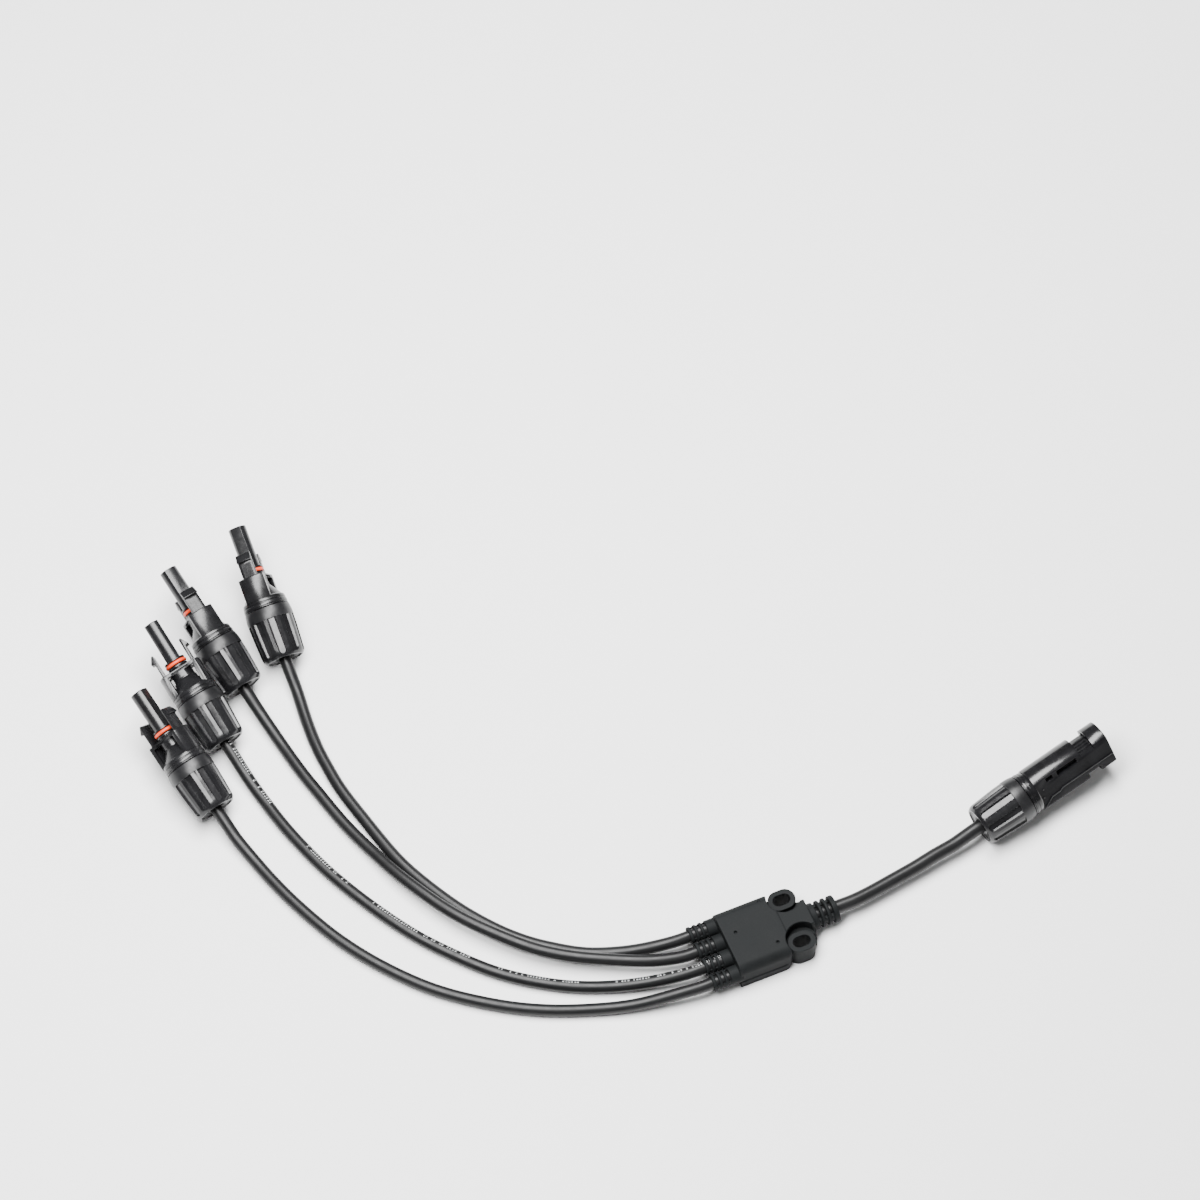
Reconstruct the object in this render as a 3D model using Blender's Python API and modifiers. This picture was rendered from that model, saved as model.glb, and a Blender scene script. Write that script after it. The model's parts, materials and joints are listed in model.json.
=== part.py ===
"""Solar branch harness: four plugs joined to one receptacle through a moulded junction.

Frame: origin at the centre of the junction's flat base, +X along the junction towards the receptacle, +Z up.
Lengths below are in millimetres and are turned into metres by MM.
"""

import math

import bmesh
import bpy
import numpy as np
from mathutils import Matrix, Vector

MM = 0.001
GAP = 0.3
BEYOND = 12.0
SIDES = 20
SMALL_SIDES = 12
CORE_SIDES = 8
WELD = 0.000002
FLAT_ANGLE = math.radians(0.2)
SHARP_ANGLE = math.radians(32)

# Connectors: centre of the nut's cable end, then in degrees the axis's heading and tilt, the roll about it
# and the nut's turn. Each one rests on its nut's rear rim, and its stiff cable holds the tip up.
PLUGS = {
    "plug_1": ((-188.4, 143.5, 8.8), 101.9, 15.4, 48.0, 8.0),
    "plug_2": ((-173.0, 171.3, 8.8), 100.2, 15.8, 15.7, 10.0),
    "plug_3": ((-156.0, 192.7, 8.8), 101.0, 15.6, 87.7, 12.0),
    "plug_4": ((-134.8, 198.5, 8.6), 88.2, 18.5, 112.0, 16.0),
}
RECEPTACLE = ((101.0, 10.0, 9.3), 11.6, 6.9, -58.0, 16.5)

# Cables
BRANCH_R = 2.65
TRUNK_R = 3.0
BRANCH_CORE_R = 1.3
TRUNK_CORE_R = 1.55
CABLE_IN = 16.0
STRAIGHT = 14.0
STEP_DIAMETERS = 2.9
CABLE_BEVEL_STEPS = 2
FINE_STEPS = 600
LIFT = 0.02

# Gland nut, clamp cage and seal, measured along the axis from the nut's cable end
NUT_LEN = 22.5
NUT_SIDES = 27
NUT_OUTSIDE = [(9.7, NUT_LEN), (10.1, 19.5), (10.0, 13.0), (9.4, 3.5), (9.0, 1.2), (7.9, 0.0)]
NUT_POCKETS = 9
POCKET = (1.5, 17.2)
POCKET_FLOOR_R = (8.35, 9.1)
POCKET_FLOOR_HALF = 1.2
POCKET_OUTER_R, POCKET_OUTER_HALF = 11.5, 2.35
NUT_END_WALL = (2.4, 4.0)
THREAD_R = 7.4
NECK_REAR = 12.5
GLAND_BORE_R = 6.4
GLAND_BORE_END = 20.8
CABLE_HOLE_R = 3.25
CAGE_R, CAGE_BORE_R = 6.1, 4.9
CAGE = (4.4, 17.0)
CAGE_TAPER = (1.0, 0.6)
CAGE_SLOT_HALF, CAGE_SLOT_END = 0.6, 10.4
SEAL = (8.0, 12.0, 15.5)
SEAL_R = (4.3, 4.6, 4.3)
CONDUCTOR_LEN = 6.5

# Collar behind the housings, as (radius, z) down its outer side
COLLAR_REAR = NUT_LEN + GAP
COLLAR_R = 9.6
COLLAR = [
    (9.3, 26.5), (COLLAR_R, 24.8), (COLLAR_R, COLLAR_REAR), (THREAD_R, COLLAR_REAR), (THREAD_R, NECK_REAR),
]

# Contacts
CONTACT_R = 2.35
CONTACT_BORE_R = 2.65
CRIMP = (17.5, 23.5)

# Plug
PLUG_LEN = 59.8
BARREL_R = 3.8
BARREL_FLAT = 3.1
FLANGE_R = 4.7
FLANGE = (40.7, 41.4)
GROOVE_R, GROOVE_REAR = 3.2, 38.6
RING_Z = 39.7
RING_R, RING_DEPTH, RING_WIDTH = 4.15, 0.72, 0.8
BACK_FLANGE_R, BACK_FLANGE_REAR = 4.5, 37.4
CORE_R = 4.8
CORE = (32.2, 36.8)
CORE_FLAT, CORE_FLAT_ENDS = 4.56, (33.0, 36.5)
CONE_REAR = (8.4, 27.0)
SHROUD_R, SHROUD_BORE_R = 9.6, 8.1
SHROUD_HALF_WIDTH = 5.5
SHROUD = (26.0, 35.5, 37.0)
SHROUD_WEB_R = 4.5
LATCH_INNER, LATCH_OUTER, LATCH_BARB = 6.3, 7.7, 9.1
LATCH_ROOT, LATCH_TIP = 28.6, 47.5
LATCH_STEP, LATCH_CORNER = 43.9, 44.4
LATCH_HALF_WIDTH = 3.25
LATCH_PIVOT = (7.0, 0.0, 29.2)
LATCH_SLOT = (5.2, 8.3)
SOCKET_DEPTH, SOCKET_R = 46.0, 1.6

# Receptacle
RECEPTACLE_LEN = 64.0
HEAD_R = 9.6
HEAD_FLAT = 7.0
HEAD_REAR = 26.2
MATING_BORE_R, MATING_BORE_FLOOR = 4.2, 40.5
COUNTERBORE_R, COUNTERBORE_FLOOR = 5.2, 59.3
NOTCH = (50.5, 57.3)
NOTCH_FLOOR = 4.7
CHANNEL = (6.0, 8.6)
CHANNEL_HALF_WIDTH = 3.5
WINDOW_FLOOR = 4.5
FRONT_WINDOW = ((3.4, 38.1), (6.2, 48.2))
REAR_WINDOW = ((4.1, 32.5), (6.2, 35.8))
PIN_R = 2.0
PIN = [(0, 52.0), (1.2, 51.6), (PIN_R, 50.4), (PIN_R, 39.6), (CONTACT_R, 39.2)]

# Junction, along X and from its flat base
BRANCH_FACE = -18.65
BLOCK_END = 5.85
TRUNK_FACE = 18.65
BODY_H = 14.0
BODY_HALF_WIDTH = 15.5
BODY_ROUNDING = 4.2
NECK_START = 2.0
NECK_HALF_WIDTH = 8.0
NECK_H = 13.8
NECK_TOP_SHARE = 0.78
PORT_Z = 7.0
PORT_Y = (11.9, 3.95, -3.95, -11.9)
RELIEF_LEN = 12.0
RELIEF_SIDES = 10
RELIEF_R = 3.85
TRUNK_RELIEF_R = 5.85
RELIEF_GAPS = 3
EAR_X, EAR_Y, EAR_TOP = 10.75, 10.45, 11.0
EAR_R, EAR_HALF_SPAN = 4.65, 1.35
EAR_RECESS_R, EAR_RECESS_OFFSET = 7.5, 0.6
SLOT_R, SLOT_HALF_SPAN = 2.35, 1.4
CAVITY = ((-9.5, -14.2, 3.6), (3.2, 14.2, 10.4))
BRANCH_BORE_END = -8.0
TRUNK_BORE_START = 2.5
CABLE_END = 10.0
BAR = ((-2.0, -13.9, 5.0), (0.6, 13.9, 9.0))
CRIMP_R, CRIMP_ENDS, CRIMP_FLOOR = 2.3, (-7.0, -1.0), -2.3
TRUNK_CRIMP_R, TRUNK_CRIMP_ENDS, TRUNK_CRIMP_FLOOR = 2.6, (0.0, 6.5), 1.0

# Route points of each cable between the straight lengths at its two ends, from its connector to the junction.
ROUTES = {
    "plug_1": [
        (-184.5, 126.0, 4.3), (-182.0, 117.5, 3.1), (-179.5, 108.7, 2.7), (-176.8, 100.2, 2.7),
        (-173.7, 91.7, 2.7), (-166.6, 75.2, 2.7), (-157.9, 59.7, 2.7), (-147.8, 45.6, 2.7),
        (-136.3, 32.7, 2.7), (-123.3, 21.7, 2.7), (-109.2, 12.0, 2.7), (-94.2, 4.1, 2.7),
        (-78.3, -2.2, 2.9), (-62.1, -7.4, 4.2), (-45.8, -10.5, 6.3),
    ],
    "plug_2": [
        (-168.8, 148.3, 3.3), (-167.0, 139.6, 2.7), (-165.1, 130.7, 2.7),
        (-162.8, 121.9, 2.7), (-157.2, 104.6, 2.7), (-150.1, 88.1, 2.7), (-141.9, 72.2, 2.7),
        (-132.7, 57.2, 2.7), (-122.0, 43.4, 2.7), (-110.3, 30.6, 2.7), (-96.9, 19.8, 2.7),
        (-82.3, 10.9, 2.8), (-66.6, 4.0, 3.6), (-49.9, -1.4, 5.8),
    ],
    "plug_3": [
        (-150.8, 164.9, 2.9), (-149.3, 156.0, 2.7), (-147.6, 146.9, 2.7),
        (-145.5, 137.9, 2.7), (-141.1, 119.9, 2.7), (-135.8, 103.2, 3.6), (-130.6, 88.7, 5.3),
        (-125.0, 76.3, 6.4), (-119.1, 65.2, 6.9), (-112.9, 55.6, 7.3), (-106.0, 46.9, 7.5),
        (-98.9, 38.9, 7.5), (-91.6, 31.8, 7.3), (-83.8, 25.9, 7.0), (-75.6, 20.7, 6.9),
        (-67.1, 16.1, 6.9), (-55.4, 10.2, 7.0), (-44.9, 6.1, 7.0),
    ],
    "plug_4": [
        (-136.4, 174.0, 2.9), (-137.3, 163.4, 2.7), (-137.5, 154.1, 2.7),
        (-137.0, 144.8, 2.7), (-136.1, 135.4, 2.7), (-132.9, 119.5, 2.7), (-127.6, 97.2, 2.7),
        (-123.4, 85.5, 2.7), (-117.8, 73.6, 2.7), (-111.7, 62.5, 2.7), (-105.3, 53.0, 2.7),
        (-98.4, 44.4, 2.7), (-90.8, 36.8, 2.7), (-82.8, 30.5, 2.7), (-74.5, 24.9, 2.7),
        (-65.7, 20.5, 3.2), (-54.0, 16.0, 4.7), (-42.9, 13.1, 6.3),
    ],
    "receptacle": [
        (79.5, 6.0, 7.5), (69.4, 4.2, 7.0), (58.8, 2.6, 6.8), (48.1, 1.0, 6.8), (39.0, 0.0, 7.0),
    ],
}


# ---------------------------------------------------------------- scene helpers

def clear_scene():
    for obj in list(bpy.data.objects):
        bpy.data.objects.remove(obj)


def make_collection(name):
    coll = bpy.data.collections.new(name)
    bpy.context.scene.collection.children.link(coll)
    return coll


def make_material(name, color, roughness, metallic=0.0):
    mat = bpy.data.materials.new(name)
    mat.use_nodes = True
    shader = mat.node_tree.nodes["Principled BSDF"]
    shader.inputs["Base Color"].default_value = (*color, 1.0)
    shader.inputs["Roughness"].default_value = roughness
    shader.inputs["Metallic"].default_value = metallic
    return mat


def add_object(name, data, coll):
    obj = bpy.data.objects.new(name, data)
    coll.objects.link(obj)
    return obj


def as_guide(obj):
    obj.hide_render = True
    obj.display_type = "WIRE"
    return obj


def lathe(name, profile, segments, coll):
    """Turned shape about Z from (radius, z) points; a profile that stays off the axis is closed on itself."""
    mesh = bpy.data.meshes.new(name)
    verts = [(r * MM, 0.0, z * MM) for r, z in profile]
    edges = [(i, i + 1) for i in range(len(verts) - 1)]
    if profile[0][0] > 0:
        edges.append((len(verts) - 1, 0))
    mesh.from_pydata(verts, edges, [])
    obj = add_object(name, mesh, coll)
    screw = obj.modifiers.new("Turn", "SCREW")
    screw.steps = segments
    screw.render_steps = segments
    screw.use_merge_vertices = True
    screw.merge_threshold = WELD
    screw.use_smooth_shade = False
    return obj


def boxes(name, bounds, coll):
    """One mesh holding an axis-aligned box for each (low corner, high corner) pair."""
    shape = bmesh.new()
    for low, high in bounds:
        low, high = Vector(low) * MM, Vector(high) * MM
        size = high - low
        place = Matrix.Translation((low + high) / 2) @ Matrix.Diagonal((*size, 1.0))
        bmesh.ops.create_cube(shape, size=1.0, matrix=place)
    return from_bmesh(name, shape, coll)


def rods(name, ends, radius, segments, coll):
    """One mesh holding a cylinder along X for each (x start, x end, y, z)."""
    shape = bmesh.new()
    for start, end, y, z in ends:
        centre = Vector(((start + end) / 2, y, z)) * MM
        place = Matrix.Translation(centre) @ Matrix.Rotation(math.pi / 2, 4, "Y")
        bmesh.ops.create_cone(
            shape, cap_ends=True, segments=segments, radius1=radius * MM, radius2=radius * MM,
            depth=(end - start) * MM, matrix=place,
        )
    return from_bmesh(name, shape, coll)


def side_cut(name, side, low, high):
    """Box from (low corner, high corner), mirrored to the other side of the YZ plane when side is -1."""
    x0, x1 = sorted((side * low[0], side * high[0]))
    return boxes(name, [((x0, *low[1:]), (x1, *high[1:]))], GUIDES)


def from_bmesh(name, shape, coll):
    mesh = bpy.data.meshes.new(name)
    shape.to_mesh(mesh)
    shape.free()
    return add_object(name, mesh, coll)


def outline(name, points, half_thickness, coll):
    """Flat outline in the object's XY plane, thickened both ways along its Z."""
    curve = bpy.data.curves.new(name, "CURVE")
    curve.dimensions = "2D"
    curve.fill_mode = "BOTH"
    curve.extrude = half_thickness * MM
    spline = curve.splines.new("POLY")
    spline.points.add(len(points) - 1)
    for point, (x, y) in zip(spline.points, points):
        point.co = (x * MM, y * MM, 0.0, 1.0)
    spline.use_cyclic_u = True
    return add_object(name, curve, coll)


def boolean(obj, other, operation):
    mod = obj.modifiers.new(other.name, "BOOLEAN")
    mod.operation = operation
    mod.solver = "EXACT"
    mod.object = other
    as_guide(other)


def evaluated_mesh(obj, name):
    """Mesh of the object with its modifiers applied, in the object's own axes, welded."""
    bpy.context.view_layer.update()
    graph = bpy.context.evaluated_depsgraph_get()
    mesh = bpy.data.meshes.new_from_object(obj.evaluated_get(graph))
    mesh.name = name
    shape = bmesh.new()
    shape.from_mesh(mesh)
    bmesh.ops.remove_doubles(shape, verts=shape.verts, dist=WELD)
    bmesh.ops.dissolve_limit(shape, angle_limit=FLAT_ANGLE, verts=shape.verts, edges=shape.edges)
    shape.to_mesh(mesh)
    shape.free()
    as_guide(obj)
    return mesh


def place(name, mesh, mat, parent=None, location=(0, 0, 0), turn=0.0):
    """A named piece from a finished mesh, on its parent's axes."""
    obj = add_object(name, mesh, PARTS)
    if mat.name not in [slot.name for slot in mesh.materials if slot]:
        mesh.materials.append(mat)
    mesh.shade_smooth()
    mesh.set_sharp_from_angle(angle=SHARP_ANGLE)
    obj.parent = parent
    obj.location = Vector(location) * MM
    obj.rotation_euler = (0.0, 0.0, turn)
    return obj


def connector_axes(pose):
    """Centre of the nut's cable end, then unit vectors towards latch a, across it and forward."""
    rear, *angles = pose
    heading, tilt, roll, _ = (math.radians(angle) for angle in angles)
    flat = Vector((math.cos(heading), math.sin(heading), 0.0))
    forward = flat * math.cos(tilt) + Vector((0.0, 0.0, math.sin(tilt)))
    level = Vector((math.sin(heading), -math.cos(heading), 0.0))
    side = level * math.cos(roll) + level.cross(forward) * math.sin(roll)
    return Vector(rear), side, forward.cross(side), forward


def connector_frame(name, pose):
    """Empty at the nut's cable end: Z along the axis to the mating face, X towards latch a."""
    rear, side, across, forward = connector_axes(pose)
    rows = Matrix((side, across, forward)).transposed()
    empty = add_object(name + "_axis", None, PARTS)
    empty.matrix_world = Matrix.Translation(rear * MM) @ rows.to_4x4()
    return empty


def arc(cx, cy, radius, start, end, count):
    angles = [math.radians(start + (end - start) * i / count) for i in range(count + 1)]
    return [(cx + radius * math.cos(a), cy + radius * math.sin(a)) for a in angles]


def pill(cx, cy, radius, half_span, count=6):
    """Outline with two parallel sides along X and round ends."""
    right = arc(cx + half_span, cy, radius, -90, 90, count)
    left = arc(cx - half_span, cy, radius, 90, 270, count)
    return right + left


def upright(name, points, low, high):
    """Solid that stands on a flat outline, from one height to another."""
    mesh = evaluated_mesh(outline(name + "_outline", points, (high - low) / 2, GUIDES), name)
    mesh.transform(Matrix.Translation((0, 0, (low + high) / 2 * MM)))
    return add_object(name, mesh, GUIDES)


# ---------------------------------------------------------------- gland pieces, shared by every connector

def add_pocket(shape, turn):
    """Block with sloping sides that cuts one grip pocket; its floor follows the nut's taper."""
    for vert in bmesh.ops.create_cube(shape, size=1.0)["verts"]:
        front, outer = vert.co.z > 0, vert.co.x > 0
        radius = POCKET_OUTER_R if outer else POCKET_FLOOR_R[front]
        half = POCKET_OUTER_HALF if outer else POCKET_FLOOR_HALF
        corner = Vector((radius, math.copysign(half, vert.co.y), POCKET[front]))
        vert.co = turn @ (corner * MM)


def gland_nut_mesh():
    """Cap nut with grip pockets, the first of them at X, a thread bore and a hole for the cable."""
    wall_rear, wall_front = NUT_END_WALL
    profile = NUT_OUTSIDE + [
        (CABLE_HOLE_R, 0.0), (CABLE_HOLE_R, wall_rear),
        (THREAD_R + GAP, wall_front), (THREAD_R + GAP, NUT_LEN),
    ]
    nut = lathe("nut_blank", profile, NUT_SIDES, GUIDES)
    shape = bmesh.new()
    for i in range(NUT_POCKETS):
        add_pocket(shape, Matrix.Rotation(2 * math.pi * i / NUT_POCKETS, 4, "Z"))
    boolean(nut, from_bmesh("nut_pockets", shape, GUIDES), "DIFFERENCE")
    return evaluated_mesh(nut, "gland_nut")


def clamp_cage_mesh():
    """Slotted collet that the nut squeezes on to the seal."""
    rear, front = CAGE
    length, depth = CAGE_TAPER
    profile = [
        (CAGE_R, front), (CAGE_R, rear + length), (CAGE_R - depth, rear),
        (CAGE_BORE_R, rear), (CAGE_BORE_R, front),
    ]
    cage = lathe("cage_blank", profile, SIDES, GUIDES)
    low = (-BEYOND, -CAGE_SLOT_HALF, rear - 1)
    slots = boxes("cage_slots", [(low, (BEYOND, CAGE_SLOT_HALF, CAGE_SLOT_END))], GUIDES)
    for i in range(1, 3):
        other = slots.copy()
        GUIDES.objects.link(other)
        other.rotation_euler.z = i * math.pi / 3
        boolean(cage, other, "DIFFERENCE")
    boolean(cage, slots, "DIFFERENCE")
    return evaluated_mesh(cage, "clamp_cage")


def cable_seal_mesh(name, cable_r):
    bore = cable_r + GAP
    profile = list(zip(reversed(SEAL_R), reversed(SEAL))) + [(bore, SEAL[0]), (bore, SEAL[-1])]
    return evaluated_mesh(lathe(name, profile, SMALL_SIDES, GUIDES), name)


def conductor_mesh(name, radius):
    profile = [(0, CONDUCTOR_LEN), (radius, CONDUCTOR_LEN), (radius, 0), (0, 0)]
    return evaluated_mesh(lathe(name, profile, CORE_SIDES, GUIDES), name)


# ---------------------------------------------------------------- plug

def plug_housing_mesh():
    """Barrel, seal groove, core, cone, collar and threaded neck in one, with two latch shrouds."""
    profile = [
        (BARREL_R, PLUG_LEN), (BARREL_R, FLANGE[1]), (FLANGE_R, FLANGE[1]), (FLANGE_R, FLANGE[0]),
        (GROOVE_R, FLANGE[0]), (GROOVE_R, GROOVE_REAR), (BACK_FLANGE_R, GROOVE_REAR),
        (BACK_FLANGE_R, BACK_FLANGE_REAR), (CORE_R, CORE[1]), (CORE_R, CORE[0]), CONE_REAR, *COLLAR,
        (GLAND_BORE_R, NECK_REAR), (GLAND_BORE_R, GLAND_BORE_END),
        (CONTACT_BORE_R, GLAND_BORE_END + 1), (CONTACT_BORE_R, PLUG_LEN),
    ]
    housing = lathe("plug_blank", profile, SIDES, GUIDES)
    rear, web, front = SHROUD
    shroud = lathe("shroud_ring", [
        (SHROUD_R, front), (SHROUD_R, rear), (SHROUD_BORE_R, rear), (SHROUD_BORE_R, web), (SHROUD_WEB_R, web),
        (SHROUD_WEB_R, front),
    ], SIDES, GUIDES)
    width = [((-BEYOND, -SHROUD_HALF_WIDTH, rear - 1), (BEYOND, SHROUD_HALF_WIDTH, front + 1))]
    boolean(shroud, boxes("shroud_width", width, GUIDES), "INTERSECT")
    boolean(housing, shroud, "UNION")
    half = LATCH_HALF_WIDTH + GAP
    core_low, core_high = CORE_FLAT_ENDS
    for side in (-1, 1):
        label = "b" if side < 0 else "a"
        low, high = (LATCH_SLOT[0], -half, LATCH_ROOT - GAP), (LATCH_SLOT[1], half, front + 1)
        boolean(housing, side_cut("latch_slot_" + label, side, low, high), "DIFFERENCE")
        low, high = (BARREL_FLAT, -BEYOND, FLANGE[1]), (BEYOND, BEYOND, PLUG_LEN + 1)
        boolean(housing, side_cut("barrel_flat_" + label, side, low, high), "DIFFERENCE")
        y0, y1 = sorted((side * CORE_FLAT, side * (CORE_R + 1)))
        flat = boxes("core_flat_" + label, [((-BEYOND, y0, core_low), (BEYOND, y1, core_high))], GUIDES)
        boolean(housing, flat, "DIFFERENCE")
    return evaluated_mesh(housing, "plug_housing")


def latch_arm_mesh():
    """Flat finger with an outward barb; its origin is on the bending line at its root."""
    px, _, pz = LATCH_PIVOT
    side_view = [
        (LATCH_INNER, LATCH_ROOT), (LATCH_OUTER, LATCH_ROOT), (LATCH_OUTER, LATCH_STEP),
        (LATCH_BARB - 0.2, LATCH_STEP + 0.1), (LATCH_BARB, LATCH_CORNER),
        (LATCH_OUTER - 0.2, LATCH_TIP - 0.3), (LATCH_OUTER - 0.5, LATCH_TIP),
        (LATCH_INNER + 0.4, LATCH_TIP), (LATCH_INNER, LATCH_TIP - 0.4),
    ]
    arm = outline("latch_outline", [(x - px, z - pz) for x, z in side_view], LATCH_HALF_WIDTH, GUIDES)
    mesh = evaluated_mesh(arm, "latch_arm")
    mesh.transform(Matrix.Rotation(math.pi / 2, 4, "X"))
    return mesh


def o_ring_mesh():
    """Ring in the groove behind the flange; its oval section has RING_DEPTH and RING_WIDTH as half sizes."""
    angles = [math.pi / 2 - 2 * math.pi * i / CORE_SIDES for i in range(CORE_SIDES)]
    section = [(RING_R + RING_DEPTH * math.cos(a), RING_Z + RING_WIDTH * math.sin(a)) for a in angles]
    return evaluated_mesh(lathe("o_ring_section", section, SMALL_SIDES, GUIDES), "o_ring")


def crimp_profile(crimp_r):
    """Rear end of a contact, down its outer side and into the crimp barrel, as (radius, z) points."""
    return [(CONTACT_R, CRIMP[0]), (crimp_r, CRIMP[0]), (crimp_r, CRIMP[1]), (0, CRIMP[1])]


def socket_contact_mesh():
    front = PLUG_LEN - 1
    profile = [(0, SOCKET_DEPTH), (SOCKET_R, SOCKET_DEPTH), (SOCKET_R, front), (CONTACT_R, front)]
    profile += crimp_profile(BRANCH_CORE_R + GAP)
    return evaluated_mesh(lathe("socket_profile", profile, SMALL_SIDES, GUIDES), "socket_contact")


# ---------------------------------------------------------------- receptacle

def receptacle_housing_mesh():
    """Round collar and neck, flat-sided head, mating bore, latch channels, notches and blind side windows."""
    collar = [(0, CONE_REAR[1]), CONE_REAR, *COLLAR, (0, NECK_REAR)]
    housing = lathe("receptacle_blank", collar, SIDES, GUIDES)
    head_profile = [(0, RECEPTACLE_LEN), (HEAD_R, RECEPTACLE_LEN), (HEAD_R, HEAD_REAR), (0, HEAD_REAR)]
    head = lathe("head_blank", head_profile, SIDES, GUIDES)
    past = RECEPTACLE_LEN + 2
    flats = [((-BEYOND, -HEAD_FLAT, HEAD_REAR - 1), (BEYOND, HEAD_FLAT, past))]
    boolean(head, boxes("head_flats", flats, GUIDES), "INTERSECT")
    boolean(housing, head, "UNION")
    bore = lathe("mating_bore", [
        (0, past), (COUNTERBORE_R, past), (COUNTERBORE_R, COUNTERBORE_FLOOR),
        (MATING_BORE_R, COUNTERBORE_FLOOR), (MATING_BORE_R, MATING_BORE_FLOOR),
        (CONTACT_BORE_R, MATING_BORE_FLOOR), (CONTACT_BORE_R, GLAND_BORE_END + 1),
        (GLAND_BORE_R, GLAND_BORE_END), (GLAND_BORE_R, NECK_REAR - 1), (0, NECK_REAR - 1),
    ], SIDES, GUIDES)
    boolean(housing, bore, "DIFFERENCE")
    for side in (-1, 1):
        label = "left" if side < 0 else "right"
        low, high = (NOTCH_FLOOR, -BEYOND, NOTCH[0]), (BEYOND, BEYOND, NOTCH[1])
        boolean(housing, side_cut("notch_" + label, side, low, high), "DIFFERENCE")
        low, high = (CHANNEL[0], -CHANNEL_HALF_WIDTH, NOTCH[1] - 1), (CHANNEL[1], CHANNEL_HALF_WIDTH, past)
        boolean(housing, side_cut("channel_" + label, side, low, high), "DIFFERENCE")
        y0, y1 = sorted((side * WINDOW_FLOOR, side * BEYOND))
        for part, ((x0, z0), (x1, z1)) in {"front": FRONT_WINDOW, "rear": REAR_WINDOW}.items():
            cutter = side_cut(f"{part}_window_{label}", side, (x0, y0, z0), (x1, y1, z1))
            boolean(housing, cutter, "DIFFERENCE")
    return evaluated_mesh(housing, "receptacle_housing")


def pin_contact_mesh():
    profile = PIN + crimp_profile(TRUNK_CORE_R + GAP)
    return evaluated_mesh(lathe("pin_profile", profile, SMALL_SIDES, GUIDES), "pin_contact")


# ---------------------------------------------------------------- junction

def junction_block():
    """Block with rounded long top edges and rounded corners on the trunk side."""
    shape = bmesh.new()
    size = Vector((BLOCK_END - BRANCH_FACE, 2 * BODY_HALF_WIDTH, BODY_H)) * MM
    centre = Vector(((BLOCK_END + BRANCH_FACE) / 2, 0.0, BODY_H / 2)) * MM
    bmesh.ops.create_cube(shape, size=1.0, matrix=Matrix.Translation(centre) @ Matrix.Diagonal((*size, 1.0)))

    def is_rounded(edge):
        a, b = (v.co for v in edge.verts)
        upright_edge = abs(a.z - b.z) > MM and a.x > 0
        top_long = abs(a.x - b.x) > MM and a.z > MM
        return upright_edge or top_long

    edges = [edge for edge in shape.edges if is_rounded(edge)]
    bmesh.ops.bevel(shape, geom=edges, offset=BODY_ROUNDING * MM, segments=3, profile=0.5, affect="EDGES")
    return from_bmesh("junction_block", shape, GUIDES)


def relief_windows(start, direction, pitch, ring, half_bar, half_height, half_width):
    """Boxes above and below a strain relief that open the gaps between its rings."""
    bounds = []
    for i in range(RELIEF_GAPS):
        near = start + direction * (ring + i * pitch)
        far = start + direction * (i + 1) * pitch
        x0, x1 = sorted((near, far))
        bounds.append(((x0, -half_width, PORT_Z + half_bar), (x1, half_width, PORT_Z + half_height)))
        bounds.append(((x0, -half_width, PORT_Z - half_height), (x1, half_width, PORT_Z - half_bar)))
    return bounds


def junction_outside():
    """Block, tapered neck, ears and the plain tubes of the strain reliefs as one body."""
    body = junction_block()
    corners = (NECK_START, -NECK_HALF_WIDTH, 0), (TRUNK_FACE, NECK_HALF_WIDTH, NECK_H)
    neck = boxes("junction_neck", [corners], GUIDES)
    for vert in neck.data.vertices:
        if vert.co.z > MM:
            vert.co.y *= NECK_TOP_SHARE
    boolean(body, neck, "UNION")
    for label, y in (("near", -EAR_Y), ("far", EAR_Y)):
        ear = upright("ear_" + label, pill(EAR_X, y, EAR_R, EAR_HALF_SPAN), 0, EAR_TOP)
        boolean(body, ear, "UNION")
    branches = [(BRANCH_FACE - RELIEF_LEN, BRANCH_FACE + 1, y, PORT_Z) for y in PORT_Y]
    boolean(body, rods("branch_reliefs", branches, RELIEF_R, RELIEF_SIDES, GUIDES), "UNION")
    trunk = [(TRUNK_FACE - 1, TRUNK_FACE + RELIEF_LEN, 0, PORT_Z)]
    boolean(body, rods("trunk_relief", trunk, TRUNK_RELIEF_R, SMALL_SIDES, GUIDES), "UNION")
    return body


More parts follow.
